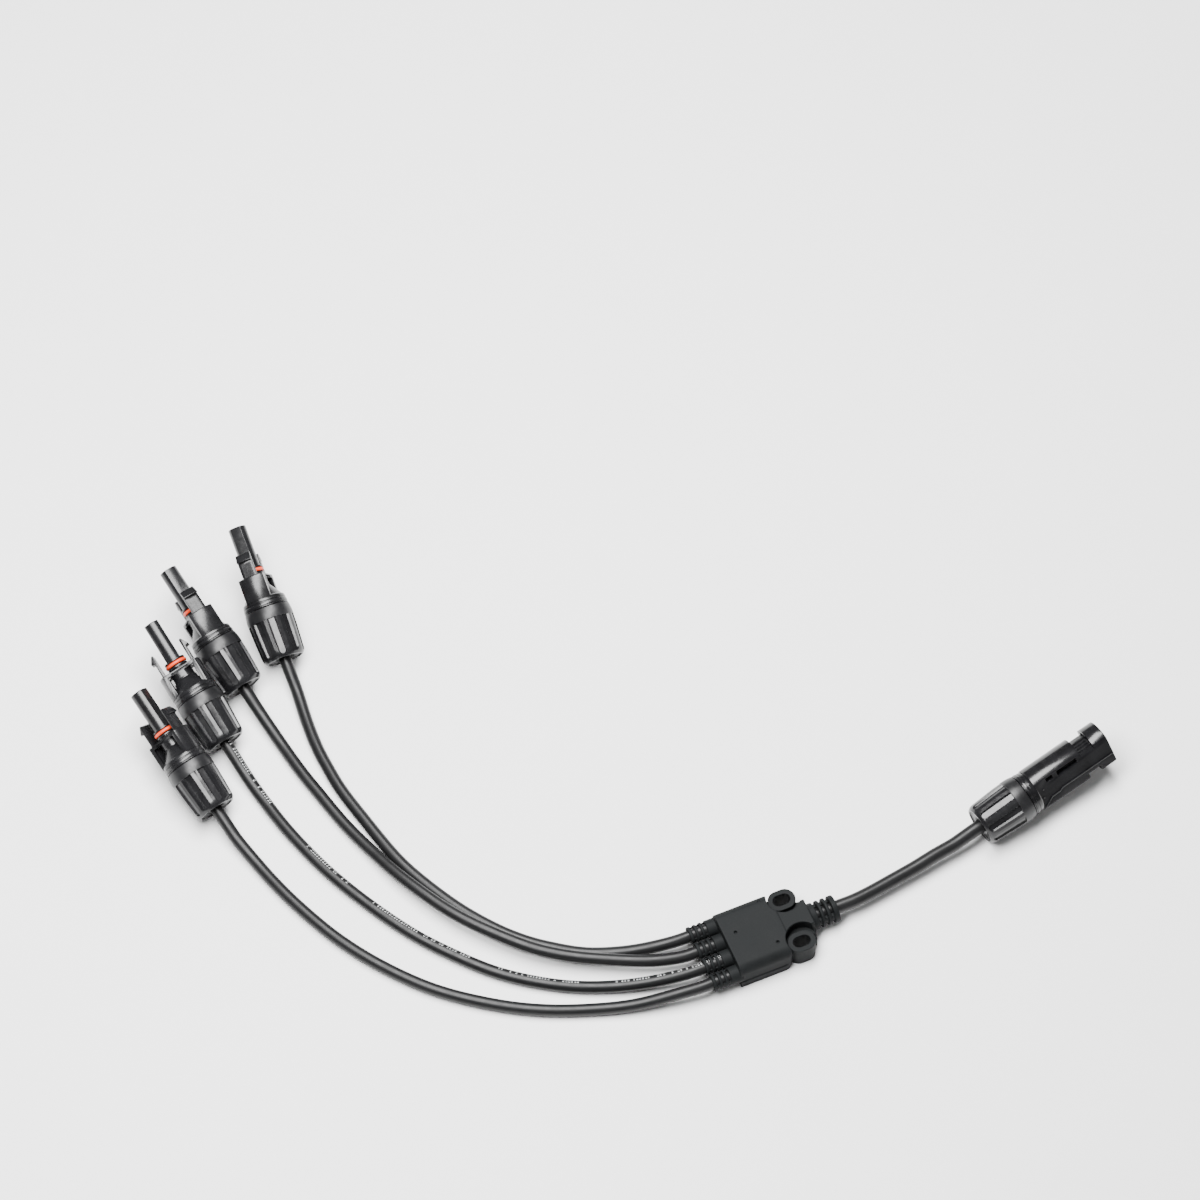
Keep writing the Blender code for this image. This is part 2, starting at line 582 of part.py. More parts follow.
def junction_body_mesh():
    """Moulded body with four branch reliefs, one trunk relief, two slotted ears and the splice cavity."""
    body = junction_outside()
    top = BODY_H + 1
    for label, y in (("near", -EAR_Y), ("far", EAR_Y)):
        round_edge = arc(EAR_X + EAR_RECESS_OFFSET, y, EAR_RECESS_R, 0, 360, SIDES)[:-1]
        boolean(body, upright("ear_recess_" + label, round_edge, EAR_TOP, top), "DIFFERENCE")
        slot = upright("ear_slot_" + label, pill(EAR_X, y, SLOT_R, SLOT_HALF_SPAN), -1, top)
        boolean(body, slot, "DIFFERENCE")
    bores = [(BRANCH_FACE - RELIEF_LEN - 1, BRANCH_BORE_END, y, PORT_Z) for y in PORT_Y]
    boolean(body, rods("branch_bores", bores, BRANCH_R + GAP, SMALL_SIDES, GUIDES), "DIFFERENCE")
    trunk_bore = [(TRUNK_BORE_START, TRUNK_FACE + RELIEF_LEN + 1, 0.0, PORT_Z)]
    boolean(body, rods("trunk_bore", trunk_bore, TRUNK_R + GAP, SMALL_SIDES, GUIDES), "DIFFERENCE")
    boolean(body, boxes("splice_cavity", [CAVITY], GUIDES), "DIFFERENCE")
    windows = relief_windows(
        BRANCH_FACE - RELIEF_LEN, 1, pitch=2.55, ring=1.3, half_bar=1.6, half_height=4.6, half_width=16.4)
    boolean(body, boxes("branch_windows", windows, GUIDES), "DIFFERENCE")
    windows = relief_windows(
        TRUNK_FACE + RELIEF_LEN, -1, pitch=2.9, ring=1.6, half_bar=2.0, half_height=6.4, half_width=6.4)
    boolean(body, boxes("trunk_windows", windows, GUIDES), "DIFFERENCE")
    return evaluated_mesh(body, "junction_body")


def busbar_mesh():
    """Copper bar with four crimp barrels on the branch side and one on the trunk side."""
    bar = boxes("bar_blank", [BAR], GUIDES)
    rear, front = CRIMP_ENDS
    barrels = [(rear, front, y, PORT_Z) for y in PORT_Y]
    boolean(bar, rods("crimp_barrels", barrels, CRIMP_R, CORE_SIDES, GUIDES), "UNION")
    bores = [(rear - 1, CRIMP_FLOOR, y, PORT_Z) for y in PORT_Y]
    boolean(bar, rods("crimp_bores", bores, BRANCH_CORE_R + GAP, CORE_SIDES, GUIDES), "DIFFERENCE")
    rear, front = TRUNK_CRIMP_ENDS
    barrel = rods("trunk_barrel", [(rear, front, 0.0, PORT_Z)], TRUNK_CRIMP_R, CORE_SIDES, GUIDES)
    boolean(bar, barrel, "UNION")
    ends = [(TRUNK_CRIMP_FLOOR, front + 1, 0.0, PORT_Z)]
    boolean(bar, rods("trunk_crimp", ends, TRUNK_CORE_R + GAP, CORE_SIDES, GUIDES), "DIFFERENCE")
    return evaluated_mesh(bar, "busbar")


# ---------------------------------------------------------------- cables

def smooth_curve(points, count):
    """Evenly spaced points on the natural cubic spline through the given points."""
    points = np.array(points, dtype=float)
    knots = np.concatenate(([0.0], np.cumsum(np.sqrt(np.linalg.norm(np.diff(points, axis=0), axis=1)))))
    size = len(points)
    gaps = np.diff(knots)
    matrix, right = np.eye(size), np.zeros((size, 3))
    for i in range(1, size - 1):
        matrix[i, i - 1:i + 2] = gaps[i - 1], 2 * (gaps[i - 1] + gaps[i]), gaps[i]
        right[i] = 6 * ((points[i + 1] - points[i]) / gaps[i] - (points[i] - points[i - 1]) / gaps[i - 1])
    bend = np.linalg.solve(matrix, right)

    def at(u):
        i = min(int(np.searchsorted(knots, u, side="right")) - 1, size - 2)
        a, b, h = knots[i + 1] - u, u - knots[i], gaps[i]
        cubic = (bend[i] * a ** 3 + bend[i + 1] * b ** 3) / (6 * h)
        return cubic + (points[i] / h - bend[i] * h / 6) * a + (points[i + 1] / h - bend[i + 1] * h / 6) * b

    fine = np.array([at(u) for u in np.linspace(0.0, knots[-1], FINE_STEPS)])
    travel = np.concatenate(([0.0], np.cumsum(np.linalg.norm(np.diff(fine, axis=0), axis=1))))
    even = np.linspace(0.0, travel[-1], count)
    return np.column_stack([np.interp(even, travel, fine[:, k]) for k in range(3)]), travel[-1]


def cable_route(key, pose, port_x, port_y):
    """Route from inside the connector to inside the junction, straight at both ends."""
    rear, _, _, forward = connector_axes(pose)
    start = [tuple(rear + forward * d) for d in (CABLE_IN, CABLE_IN / 2, 0.0, -STRAIGHT / 2, -STRAIGHT)]
    side = 1 if port_x > 0 else -1
    face = side * (TRUNK_FACE + RELIEF_LEN)
    outward = (4.0, -2.0, -8.0, -14.0)
    end = [(face + side * d, port_y, PORT_Z) for d in outward] + [(port_x, port_y, PORT_Z)]
    return start + ROUTES[key] + end


def cable(name, route, radius, mat):
    """Tube along the smooth route, kept on or above the surface that the harness lies on."""
    _, length = smooth_curve(route, 2)
    count = math.ceil(length / (2 * radius * STEP_DIAMETERS)) + 1
    points, _ = smooth_curve(route, count)
    curve = bpy.data.curves.new(name, "CURVE")
    curve.dimensions = "3D"
    curve.bevel_depth = radius * MM
    curve.bevel_resolution = CABLE_BEVEL_STEPS
    curve.use_fill_caps = True
    spline = curve.splines.new("POLY")
    spline.points.add(count - 1)
    for point, (x, y, z) in zip(spline.points, points):
        point.co = (x * MM, y * MM, max(z, radius + LIFT) * MM, 1.0)
    curve.materials.append(mat)
    return add_object(name, curve, PARTS)


# ---------------------------------------------------------------- assembly

def build_gland(key, frame, nut_turn, meshes, mats):
    """Nut, cage, seal and bared conductor behind one connector."""
    place(key + "_gland_nut", meshes["nut"], mats["black"], frame, turn=math.radians(nut_turn))
    place(key + "_clamp_cage", meshes["cage"], mats["black"], frame)
    trunk = key == "receptacle"
    place(key + "_cable_seal", meshes["trunk_seal" if trunk else "branch_seal"], mats["rubber"], frame)
    core = meshes["trunk_core" if trunk else "branch_core"]
    place(key + "_conductor", core, mats["copper"], frame, (0, 0, CABLE_IN + GAP))


def build_plug(key, pose, meshes, mats):
    frame = connector_frame(key, pose)
    place(key + "_housing", meshes["plug"], mats["black"], frame)
    x, y, z = LATCH_PIVOT
    place(key + "_latch_arm_a", meshes["latch"], mats["black"], frame, (x, y, z))
    place(key + "_latch_arm_b", meshes["latch"], mats["black"], frame, (-x, y, z), math.pi)
    place(key + "_o_ring", meshes["o_ring"], mats["orange"], frame)
    place(key + "_socket_contact", meshes["socket"], mats["tin"], frame)
    build_gland(key, frame, pose[-1], meshes, mats)


def build_receptacle(meshes, mats):
    frame = connector_frame("receptacle", RECEPTACLE)
    place("receptacle_housing", meshes["receptacle"], mats["black"], frame)
    place("receptacle_pin_contact", meshes["pin"], mats["tin"], frame)
    build_gland("receptacle", frame, RECEPTACLE[-1], meshes, mats)


def build_junction(mats):
    place("junction_body", junction_body_mesh(), mats["grey"])
    place("junction_busbar", busbar_mesh(), mats["copper"])
    for i, y in enumerate(reversed(PORT_Y), start=1):
        ends = [(GAP - CABLE_END, CRIMP_FLOOR - GAP, y, PORT_Z)]
        core = rods(f"core_blank_{i}", ends, BRANCH_CORE_R, CORE_SIDES, GUIDES)
        place(f"junction_conductor_{i}", evaluated_mesh(core, f"junction_core_{i}"), mats["copper"])
    ends = [(TRUNK_CRIMP_FLOOR + GAP, CABLE_END - GAP, 0.0, PORT_Z)]
    core = rods("core_blank_trunk", ends, TRUNK_CORE_R, CORE_SIDES, GUIDES)
    place("junction_conductor_trunk", evaluated_mesh(core, "junction_core_trunk"), mats["copper"])


def build_cables(mats):
    for i, (key, y) in enumerate(zip(PLUGS, reversed(PORT_Y)), start=1):
        route = cable_route(key, PLUGS[key], -CABLE_END, y)
        cable(f"branch_cable_{i}", route, BRANCH_R, mats["cable"])
    cable("trunk_cable", cable_route("receptacle", RECEPTACLE, CABLE_END, 0.0), TRUNK_R, mats["cable"])


def main():
    mats = {
        "black": make_material("connector_black", (0.012, 0.012, 0.013), 0.28),
        "grey": make_material("junction_grey", (0.045, 0.048, 0.05), 0.62),
        "cable": make_material("cable_black", (0.015, 0.015, 0.016), 0.42),
        "orange": make_material("seal_orange", (0.82, 0.09, 0.03), 0.45),
        "rubber": make_material("seal_rubber", (0.02, 0.02, 0.02), 0.7),
        "tin": make_material("tinned_copper", (0.72, 0.7, 0.66), 0.3, 1.0),
        "copper": make_material("bare_copper", (0.85, 0.42, 0.25), 0.35, 1.0),
    }
    meshes = {
        "nut": gland_nut_mesh(),
        "cage": clamp_cage_mesh(),
        "branch_seal": cable_seal_mesh("branch_seal", BRANCH_R),
        "trunk_seal": cable_seal_mesh("trunk_seal", TRUNK_R),
        "branch_core": conductor_mesh("branch_core", BRANCH_CORE_R),
        "trunk_core": conductor_mesh("trunk_core", TRUNK_CORE_R),
        "plug": plug_housing_mesh(),
        "latch": latch_arm_mesh(),
        "o_ring": o_ring_mesh(),
        "socket": socket_contact_mesh(),
        "receptacle": receptacle_housing_mesh(),
        "pin": pin_contact_mesh(),
    }
    for key, pose in PLUGS.items():
        build_plug(key, pose, meshes, mats)
    build_receptacle(meshes, mats)
    build_junction(mats)
    build_cables(mats)


clear_scene()
PARTS = make_collection("solar_branch_harness")
GUIDES = make_collection("cutters")
main()
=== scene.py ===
"""Looks of the solar branch harness: fine meshes, procedural materials, cables, camera and soft studio light.

Small sizes are in millimetres and are turned into metres by MM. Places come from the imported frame.
"""

import json
import math

import bmesh
import bpy
import numpy as np
from mathutils import Matrix, Vector


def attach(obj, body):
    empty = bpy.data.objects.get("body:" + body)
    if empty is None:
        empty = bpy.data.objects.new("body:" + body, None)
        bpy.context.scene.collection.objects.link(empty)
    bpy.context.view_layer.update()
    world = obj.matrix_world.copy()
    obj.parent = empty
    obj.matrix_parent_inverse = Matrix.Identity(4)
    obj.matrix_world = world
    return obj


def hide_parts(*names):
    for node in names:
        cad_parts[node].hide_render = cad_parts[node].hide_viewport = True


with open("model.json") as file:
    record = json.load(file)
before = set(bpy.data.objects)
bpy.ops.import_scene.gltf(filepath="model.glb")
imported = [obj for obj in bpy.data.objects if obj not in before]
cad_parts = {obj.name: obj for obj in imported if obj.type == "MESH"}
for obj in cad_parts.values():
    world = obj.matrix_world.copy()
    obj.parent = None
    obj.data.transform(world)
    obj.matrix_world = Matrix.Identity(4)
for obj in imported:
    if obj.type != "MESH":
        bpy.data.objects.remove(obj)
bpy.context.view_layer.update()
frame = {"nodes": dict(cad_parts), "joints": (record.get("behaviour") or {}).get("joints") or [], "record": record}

MM = 0.001
# Points of a boolean's result that are closer than this become one
WELD = 0.0015
# Straight pieces in each rounded corner of a turned outline
FILLET_STEPS = 4
JOINTS = {joint["name"]: joint for joint in frame["joints"]}
MOUNTS = {mount["name"]: mount for mount in frame["record"]["mounts"]}
PLUG_KEYS = ("plug_1", "plug_2", "plug_3", "plug_4")
KEYS = PLUG_KEYS + ("receptacle",)

# Cables: how far they reach into a connector, where they end in the junction, and how far they run straight
BRANCH_R = 2.65
TRUNK_R = 3.0
CABLE_IN = 16.0
CABLE_END = 10.0
STRAIGHT = 14.0
# Gap above the floor, length of one mesh ring's step, and how much the jacket's radius varies
LIFT = 0.02
TUBE_STEP = 1.6
SWELL = 0.006

# Gland. Places along the axis are measured from the nut's cable end, and the nut's joint lies at NUT_MARK
NUT_LEN = 22.5
NUT_MARK = 11.0
# Grip pockets: rear and front end, floor radius at both, half width of the floor, and the cutter's mouth
POCKETS = 9
POCKET = (1.5, 17.2)
POCKET_FLOOR_R = (8.35, 9.1)
POCKET_FLOOR_HALF = 1.2
POCKET_OUTER_R, POCKET_OUTER_HALF = 11.5, 3.7
# Flat lands: rear and front end, smallest radius that has them, how deep they lie and where they fade out
LAND = (1.4, 17.2)
LAND_MIN_R = 8.4
LAND_STEP = 0.05
LAND_FADE = 2.5
FLATS, SIDES_TO_A_FLAT = 27, 8
FLAT_TURN = 2 * math.pi / FLATS
# Turn of each nut at rest, in degrees
NUT_TURN = {"plug_1": 8.0, "plug_2": 10.0, "plug_3": 12.0, "plug_4": 16.0, "receptacle": 16.5}
COLLAR_REAR = 22.8
NECK_REAR = 12.5
THREAD_R = 7.4
THREAD_PITCH = 1.75
THREAD_DEPTH = 0.55
THREAD_FADE = 1.2
GLAND_BORE_R = 6.4

# Plug and receptacle, measured from the nut's cable end too
HEAD_R = 9.6
CONTACT_BORE_R = 2.65
PLUG_LEN = 59.8
BARREL_R, BARREL_FLAT = 3.8, 3.1
SHROUD_HALF = 5.5
RING_Z = 39.7
LATCH_HINGE_Z = 29.2
FINGER_HALF = 3.2
RECEPTACLE_LEN = 64.0
MATING_BORE_R = 4.2
HEAD_FLAT = 7.0
RAIL_HALF, RAIL_HEIGHT = 0.28, 0.4

# Junction
PORT_Z = 7.0
PORT_Y = (-11.9, -3.95, 3.95, 11.9)
RELIEF_LEN = 12.0
BODY_X = (-18.65, 18.65)
FOOT_HALF, FOOT_TOP = 15.5, 4.2
BLOCK_HALF, BLOCK_FRONT = 15.1, 5.85
EDGE_R, CORNER_R = 4.3, 4.5
EAR = (10.75, 10.45)
EAR_TOP = 11.0
EAR_END_R, EAR_SPAN = 4.65, 1.35
SLOT_END_R, SLOT_SPAN = 2.35, 1.4
RECESS_R, RECESS_FLOOR = 7.3, 8.6
PIN_MARKS = ((1.15, 12.4), (-13.45, 2.8), (0.85, -8.2))

# Printed dashes on a cable: one to a cell along it, in metres, and in groups of cells
DASH_CELL = 0.00125
GROUP_CELLS = 10
# Half height of the print, as a share of the way round the cable
DASH_HALF = 0.042
# Which way each cable's print side faces, in degrees from its level side up over its top
PRINT_SIDE = {"plug_1": 200.0, "plug_2": 62.0, "plug_3": 250.0, "plug_4": 300.0, "receptacle": 240.0}
PRINTED = "plug_2"

# Colours of each material's dark and light patches
BLACK = ((0.005, 0.005, 0.0055), (0.010, 0.010, 0.011))
DEEP_BLACK = ((0.004, 0.004, 0.0045), (0.008, 0.008, 0.009))
JUNCTION = ((0.0058, 0.0065, 0.0068), (0.0087, 0.0096, 0.0100))
JACKET = ((0.0048, 0.0048, 0.0052), (0.0092, 0.0092, 0.0096))
ORANGE = ((0.62, 0.034, 0.006), (0.76, 0.066, 0.014))
SEAL = ((0.012, 0.012, 0.012), (0.03, 0.03, 0.03))
TIN = ((0.55, 0.54, 0.52), (0.80, 0.79, 0.76))
COPPER = ((0.62, 0.28, 0.16), (0.86, 0.46, 0.30))
PAPER = ((0.88, 0.88, 0.88), (0.91, 0.91, 0.91))
# Single colours: specks in the junction's grain, and the print
SPECK = (0.0130, 0.0141, 0.0146)
PRINT = (0.55, 0.56, 0.56)

# Camera and studio, in metres, degrees and watts
VIEW_TURN, VIEW_RISE = -23.3, 61.0
VIEW_TARGET = (0.0002, 0.1767, 0.0)
VIEW_WIDTH = 0.5085
LENS, SENSOR = 300.0, 36.0
SKY = 0.2
OVERHEAD = {"location": (-0.16, 0.2, 1.05), "target": (-0.12, 0.15, 0.0), "size": (1.15, 0.45), "power": 56.0}
NEAR = {"location": (0.1, -0.9, 0.8), "target": (0.0, 0.1, 0.0), "size": (0.9, 0.2), "power": 0.8}

# Route points of each cable in millimetres, from its connector to the junction
ROUTES = {
    "plug_1": [
        (-184.5, 126.0, 4.3), (-182.0, 117.5, 3.1), (-179.5, 108.7, 2.7), (-176.8, 100.2, 2.7),
        (-173.7, 91.7, 2.7), (-166.6, 75.2, 2.7), (-157.9, 59.7, 2.7), (-147.8, 45.6, 2.7),
        (-136.3, 32.7, 2.7), (-123.3, 21.7, 2.7), (-109.2, 12.0, 2.7), (-94.2, 4.1, 2.7),
        (-78.3, -2.2, 2.9), (-62.1, -7.4, 4.2), (-45.8, -10.5, 6.3),
    ],
    "plug_2": [
        (-168.8, 148.3, 3.3), (-167.0, 139.6, 2.7), (-165.1, 130.7, 2.7),
        (-162.8, 121.9, 2.7), (-157.2, 104.6, 2.7), (-150.1, 88.1, 2.7), (-141.9, 72.2, 2.7),
        (-132.7, 57.2, 2.7), (-122.0, 43.4, 2.7), (-110.3, 30.6, 2.7), (-96.9, 19.8, 2.7),
        (-82.3, 10.9, 2.8), (-66.6, 4.0, 3.6), (-49.9, -1.4, 5.8),
    ],
    "plug_3": [
        (-150.8, 164.9, 2.9), (-149.3, 156.0, 2.7), (-147.6, 146.9, 2.7),
        (-145.5, 137.9, 2.7), (-141.1, 119.9, 2.7), (-135.8, 103.2, 3.6), (-130.6, 88.7, 5.3),
        (-125.0, 76.3, 6.4), (-119.1, 65.2, 6.9), (-112.9, 55.6, 7.3), (-106.0, 46.9, 7.5),
        (-98.9, 38.9, 7.5), (-91.6, 31.8, 7.3), (-83.8, 25.9, 7.0), (-75.6, 20.7, 6.9),
        (-67.1, 16.1, 6.9), (-55.4, 10.2, 7.0), (-44.9, 6.1, 7.0),
    ],
    "plug_4": [
        (-136.4, 174.0, 2.9), (-137.3, 163.4, 2.7), (-137.5, 154.1, 2.7),
        (-137.0, 144.8, 2.7), (-136.1, 135.4, 2.7), (-132.9, 119.5, 2.7), (-127.6, 97.2, 2.7),
        (-123.4, 85.5, 2.7), (-117.8, 73.6, 2.7), (-111.7, 62.5, 2.7), (-105.3, 53.0, 2.7),
        (-98.4, 44.4, 2.7), (-90.8, 36.8, 2.7), (-82.8, 30.5, 2.7), (-74.5, 24.9, 2.7),
        (-65.7, 20.5, 3.2), (-54.0, 16.0, 4.7), (-42.9, 13.1, 6.3),
    ],
    "receptacle": [
        (79.5, 6.0, 7.5), (69.4, 4.2, 7.0), (58.8, 2.6, 6.8), (48.1, 1.0, 6.8), (39.0, 0.0, 7.0),
    ],
}


# ---------------------------------------------------------------- places from the frame

def connector_axes(key):
    """(rear point in mm, side, top, forward): the connector's own axes, from its joints and mounts."""
    turn = JOINTS[key + "_nut_turn"]
    forward = -Vector(turn["axis"]).normalized()
    rear = Vector(turn["pos_m"]) / MM - forward * NUT_MARK
    if key in PLUG_KEYS:
        latch = Vector(JOINTS[key + "_latch_a_bend"]["pos_m"]) / MM
        side = (latch - rear - forward * LATCH_HINGE_Z).normalized()
    else:
        rim = Vector(MOUNTS["receptacle_mating_face"]["pos_m"]) / MM
        side = (rim - rear - forward * RECEPTACLE_LEN).normalized().cross(forward)
    return rear, side, forward.cross(side), forward


def connector_matrix(key):
    rear, side, top, forward = connector_axes(key)
    turn = Matrix((side, top, forward)).transposed().to_4x4()
    return Matrix.Translation(rear * MM) @ turn


# ---------------------------------------------------------------- mesh helpers

def add_object(name, data):
    obj = bpy.data.objects.new(name, data)
    bpy.context.scene.collection.objects.link(obj)
    return obj


def from_bmesh(name, shape):
    mesh = bpy.data.meshes.new(name)
    shape.to_mesh(mesh)
    shape.free()
    return add_object(name, mesh)


def filleted(profile):
    """Points of a (r, z, fillet) outline with each corner rounded by its fillet."""
    out = []
    count = len(profile)
    closed = profile[0][0] > 0
    for i, (r, z, fillet) in enumerate(profile):
        ends = not closed and i in (0, count - 1)
        if fillet <= 0 or ends:
            out.append((r, z))
            continue
        here = Vector((r, z))
        back = Vector(profile[i - 1][:2]) - here
        ahead = Vector(profile[(i + 1) % count][:2]) - here
        reach = min(fillet, 0.45 * back.length, 0.45 * ahead.length)
        start, end = here + back.normalized() * reach, here + ahead.normalized() * reach
        for k in range(FILLET_STEPS + 1):
            t = k / FILLET_STEPS
            point = start * (1 - t) ** 2 + here * 2 * t * (1 - t) + end * t ** 2
            out.append((point.x, point.y))
    return out


def turned(name, profile, sides=96, wave=None):
    """Turned solid about Z. The outline runs down its outer side and up its bore, or ends on the axis."""
    points = filleted(profile)
    shape = bmesh.new()
    rings = []
    for r, z in points:
        if r < 1e-6:
            rings.append([shape.verts.new((0, 0, z * MM))])
            continue
        ring = []
        for k in range(sides):
            a = 2 * math.pi * k / sides
            rr = r if wave is None else wave(r, z, a)
            ring.append(shape.verts.new((rr * MM * math.cos(a), rr * MM * math.sin(a), z * MM)))
        rings.append(ring)
    pairs = list(zip(rings, rings[1:]))
    if profile[0][0] > 0:
        pairs.append((rings[-1], rings[0]))
    for upper, lower in pairs:
        for k in range(sides):
            n = (k + 1) % sides
            if len(upper) == 1:
                shape.faces.new((upper[0], lower[k], lower[n]))
            elif len(lower) == 1:
                shape.faces.new((upper[k], lower[0], upper[n]))
            else:
                shape.faces.new((upper[k], lower[k], lower[n], upper[n]))
    return from_bmesh(name, shape)


def block(name, low, high, bevel=0.0):
    """Box between two corners in mm, with its edges rounded by the bevel."""
    shape = bmesh.new()
    low, high = Vector(low) * MM, Vector(high) * MM
    place = Matrix.Translation((low + high) / 2) @ Matrix.Diagonal((*(high - low), 1.0))
    bmesh.ops.create_cube(shape, size=1.0, matrix=place)
    if bevel > 0:
        bmesh.ops.bevel(
            shape, geom=shape.edges[:], offset=bevel * MM, segments=3, profile=0.5, affect="EDGES")
    return from_bmesh(name, shape)


def prism(name, points, low, high, axis="Z", bevel=0.0):
    """Outline in mm pulled from low to high along Z; axis Y stands it up so that outline y becomes z."""
    shape = bmesh.new()
    face = shape.faces.new([shape.verts.new((x * MM, y * MM, low * MM)) for x, y in points])
    made = bmesh.ops.extrude_face_region(shape, geom=[face])
    verts = [v for v in made["geom"] if isinstance(v, bmesh.types.BMVert)]
    bmesh.ops.translate(shape, verts=verts, vec=(0, 0, (high - low) * MM))
    bmesh.ops.recalc_face_normals(shape, faces=shape.faces)
    if bevel > 0:
        edges = [e for e in shape.edges if e.calc_face_angle(0) > math.radians(25)]
        bmesh.ops.bevel(shape, geom=edges, offset=bevel * MM, segments=2, profile=0.5, affect="EDGES")
    if axis == "Y":
        bmesh.ops.rotate(shape, verts=shape.verts, matrix=Matrix.Rotation(math.pi / 2, 3, "X"))
    return from_bmesh(name, shape)


def rod(name, radius, low, high, sides=48, centre=(0, 0)):
    """Cylinder along Z in mm."""
    shape = bmesh.new()
    spot = Matrix.Translation(Vector((centre[0], centre[1], (low + high) / 2)) * MM)
    bmesh.ops.create_cone(
        shape, cap_ends=True, segments=sides, radius1=radius * MM, radius2=radius * MM,
        depth=(high - low) * MM, matrix=spot)
    return from_bmesh(name, shape)


def arc(cx, cy, radius, start, end, count):
    angles = [math.radians(start + (end - start) * i / count) for i in range(count + 1)]
    return [(cx + radius * math.cos(a), cy + radius * math.sin(a)) for a in angles]


def pill(cx, cy, radius, half_span, count=16):
    return arc(cx + half_span, cy, radius, -90, 90, count) + arc(cx - half_span, cy, radius, 90, 270, count)


def cut(obj, *tools):
    return combine(obj, "DIFFERENCE", tools)


def join(obj, *tools):
    return combine(obj, "UNION", tools)


def common(obj, *tools):
    return combine(obj, "INTERSECT", tools)


def combine(obj, operation, tools):
    """Boolean of the object with one tool after another; each result is welded, and the tools are removed."""
    for tool in tools:
        mod = obj.modifiers.new("cut", "BOOLEAN")
        mod.operation = operation
        mod.solver = "EXACT"
        mod.object = tool
        settle(obj)
        bpy.data.objects.remove(tool)
        shape = bmesh.new()
        shape.from_mesh(obj.data)
        bmesh.ops.remove_doubles(shape, verts=shape.verts, dist=WELD * MM)
        bmesh.ops.dissolve_degenerate(shape, dist=WELD * MM / 2, edges=shape.edges)
        shape.to_mesh(obj.data)
        shape.free()
    return obj


def settle(obj):
    """Applies the object's modifiers to its mesh."""
    bpy.context.view_layer.update()
    graph = bpy.context.evaluated_depsgraph_get()
    mesh = bpy.data.meshes.new_from_object(obj.evaluated_get(graph))
    obj.modifiers.clear()
    obj.data = mesh
    return obj


def smooth(obj, angle):
    """Smooth shading, except across edges sharper than the angle."""
    obj.data.shade_smooth()
    obj.data.set_sharp_from_angle(angle=math.radians(angle))
    return obj


def soften(obj, width, angle):
    """Small round along the edges sharper than the angle."""
    mod = obj.modifiers.new("round", "BEVEL")
    mod.width = width * MM
    mod.segments = 2
    mod.limit_method = "ANGLE"
    mod.angle_limit = math.radians(angle)
    mod.use_clamp_overlap = True
    mod.miter_outer = "MITER_ARC"
    return settle(obj)


def moulded(obj, voxel, rounds):
    """Soft moulded edges: an even remesh, smoothed a few times."""
    remesh = obj.modifiers.new("remesh", "REMESH")
    remesh.mode = "VOXEL"
    remesh.voxel_size = voxel * MM
    relax = obj.modifiers.new("relax", "SMOOTH")
    relax.factor = 0.5
    relax.iterations = rounds
    settle(obj)
    obj.data.shade_smooth()
    return obj


def piece(name, obj, place, body, slot, material, *nodes, second=None):
    """Copy of a finished mesh where the frame says, tied to its body, hiding the CAD nodes it stands in for. The
    slot is not used.
    """
    mesh = obj.data.copy()
    mesh.transform(place)
    made = add_object(name, mesh)
    marks = [face.material_index for face in mesh.polygons]
    mesh.materials.clear()
    mesh.materials.append(material)
    if second:
        mesh.materials.append(second)
        mesh.polygons.foreach_set("material_index", marks)
    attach(made, body)
    if nodes:
        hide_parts(*nodes)


# ---------------------------------------------------------------- materials

class Shader:
    """A node material around one Principled BSDF."""

    def __init__(self, name):
        self.material = bpy.data.materials.new(name)
        self.material.use_nodes = True
        self.nodes = self.material.node_tree.nodes
        self.links = self.material.node_tree.links
        self.bsdf = self.nodes["Principled BSDF"]
        self.coords = self.nodes.new("ShaderNodeTexCoord").outputs["Object"]

    def feed(self, socket, value):
        """Links an output to the socket, or sets its value."""
        if isinstance(value, bpy.types.NodeSocket):
            self.links.new(value, socket)
        else:
            socket.default_value = value

    def add(self, kind, **inputs):
        node = self.nodes.new(kind)
        for key, value in inputs.items():
            self.feed(node.inputs[key.replace("_", " ")], value)
        return node

    def noise(self, scale, detail=4.0, roughness=0.55, coords=None):
        return self.add(
            "ShaderNodeTexNoise", Vector=coords or self.coords, Scale=scale, Detail=detail,
            Roughness=roughness).outputs["Fac"]

    def ramp(self, value, low, high, start=0.0, end=1.0):
        """Maps the value's span from start to end onto the span from low to high."""
        return self.add(
            "ShaderNodeMapRange", Value=value, From_Min=start, From_Max=end, To_Min=low,
            To_Max=high).outputs["Result"]

    def math(self, operation, *values):
        node = self.nodes.new("ShaderNodeMath")
        node.operation = operation
        for socket, value in zip(node.inputs, values):
            self.feed(socket, value)
        return node.outputs["Value"]

    def mix(self, factor, a, b):
        """Colour from a to b. A mix node keeps its colour sockets at places 6 and 7."""
        node = self.nodes.new("ShaderNodeMix")
        node.data_type = "RGBA"
        for socket, value in ((node.inputs[0], factor), (node.inputs[6], a), (node.inputs[7], b)):
            self.feed(socket, value)
        return node.outputs[2]

    def patches(self, factor, colours):
        """Colour between the dark and the light one of a pair."""
        dark, light = colours
        return self.mix(factor, (*dark, 1.0), (*light, 1.0))

    def scatter(self, value):
        """Random number from 0 to 1 that stays the same for the same value."""
        spot = self.add("ShaderNodeCombineXYZ", X=value)
        return self.add("ShaderNodeTexWhiteNoise", Vector=spot.outputs["Vector"]).outputs["Value"]

    def bump(self, height, strength, distance, normal=None):
        node = self.add("ShaderNodeBump", Height=height, Strength=strength, Distance=distance)
        if normal is not None:
            self.links.new(normal, node.inputs["Normal"])
        return node.outputs["Normal"]

    def set(self, name, value):
        self.feed(self.bsdf.inputs[name], value)


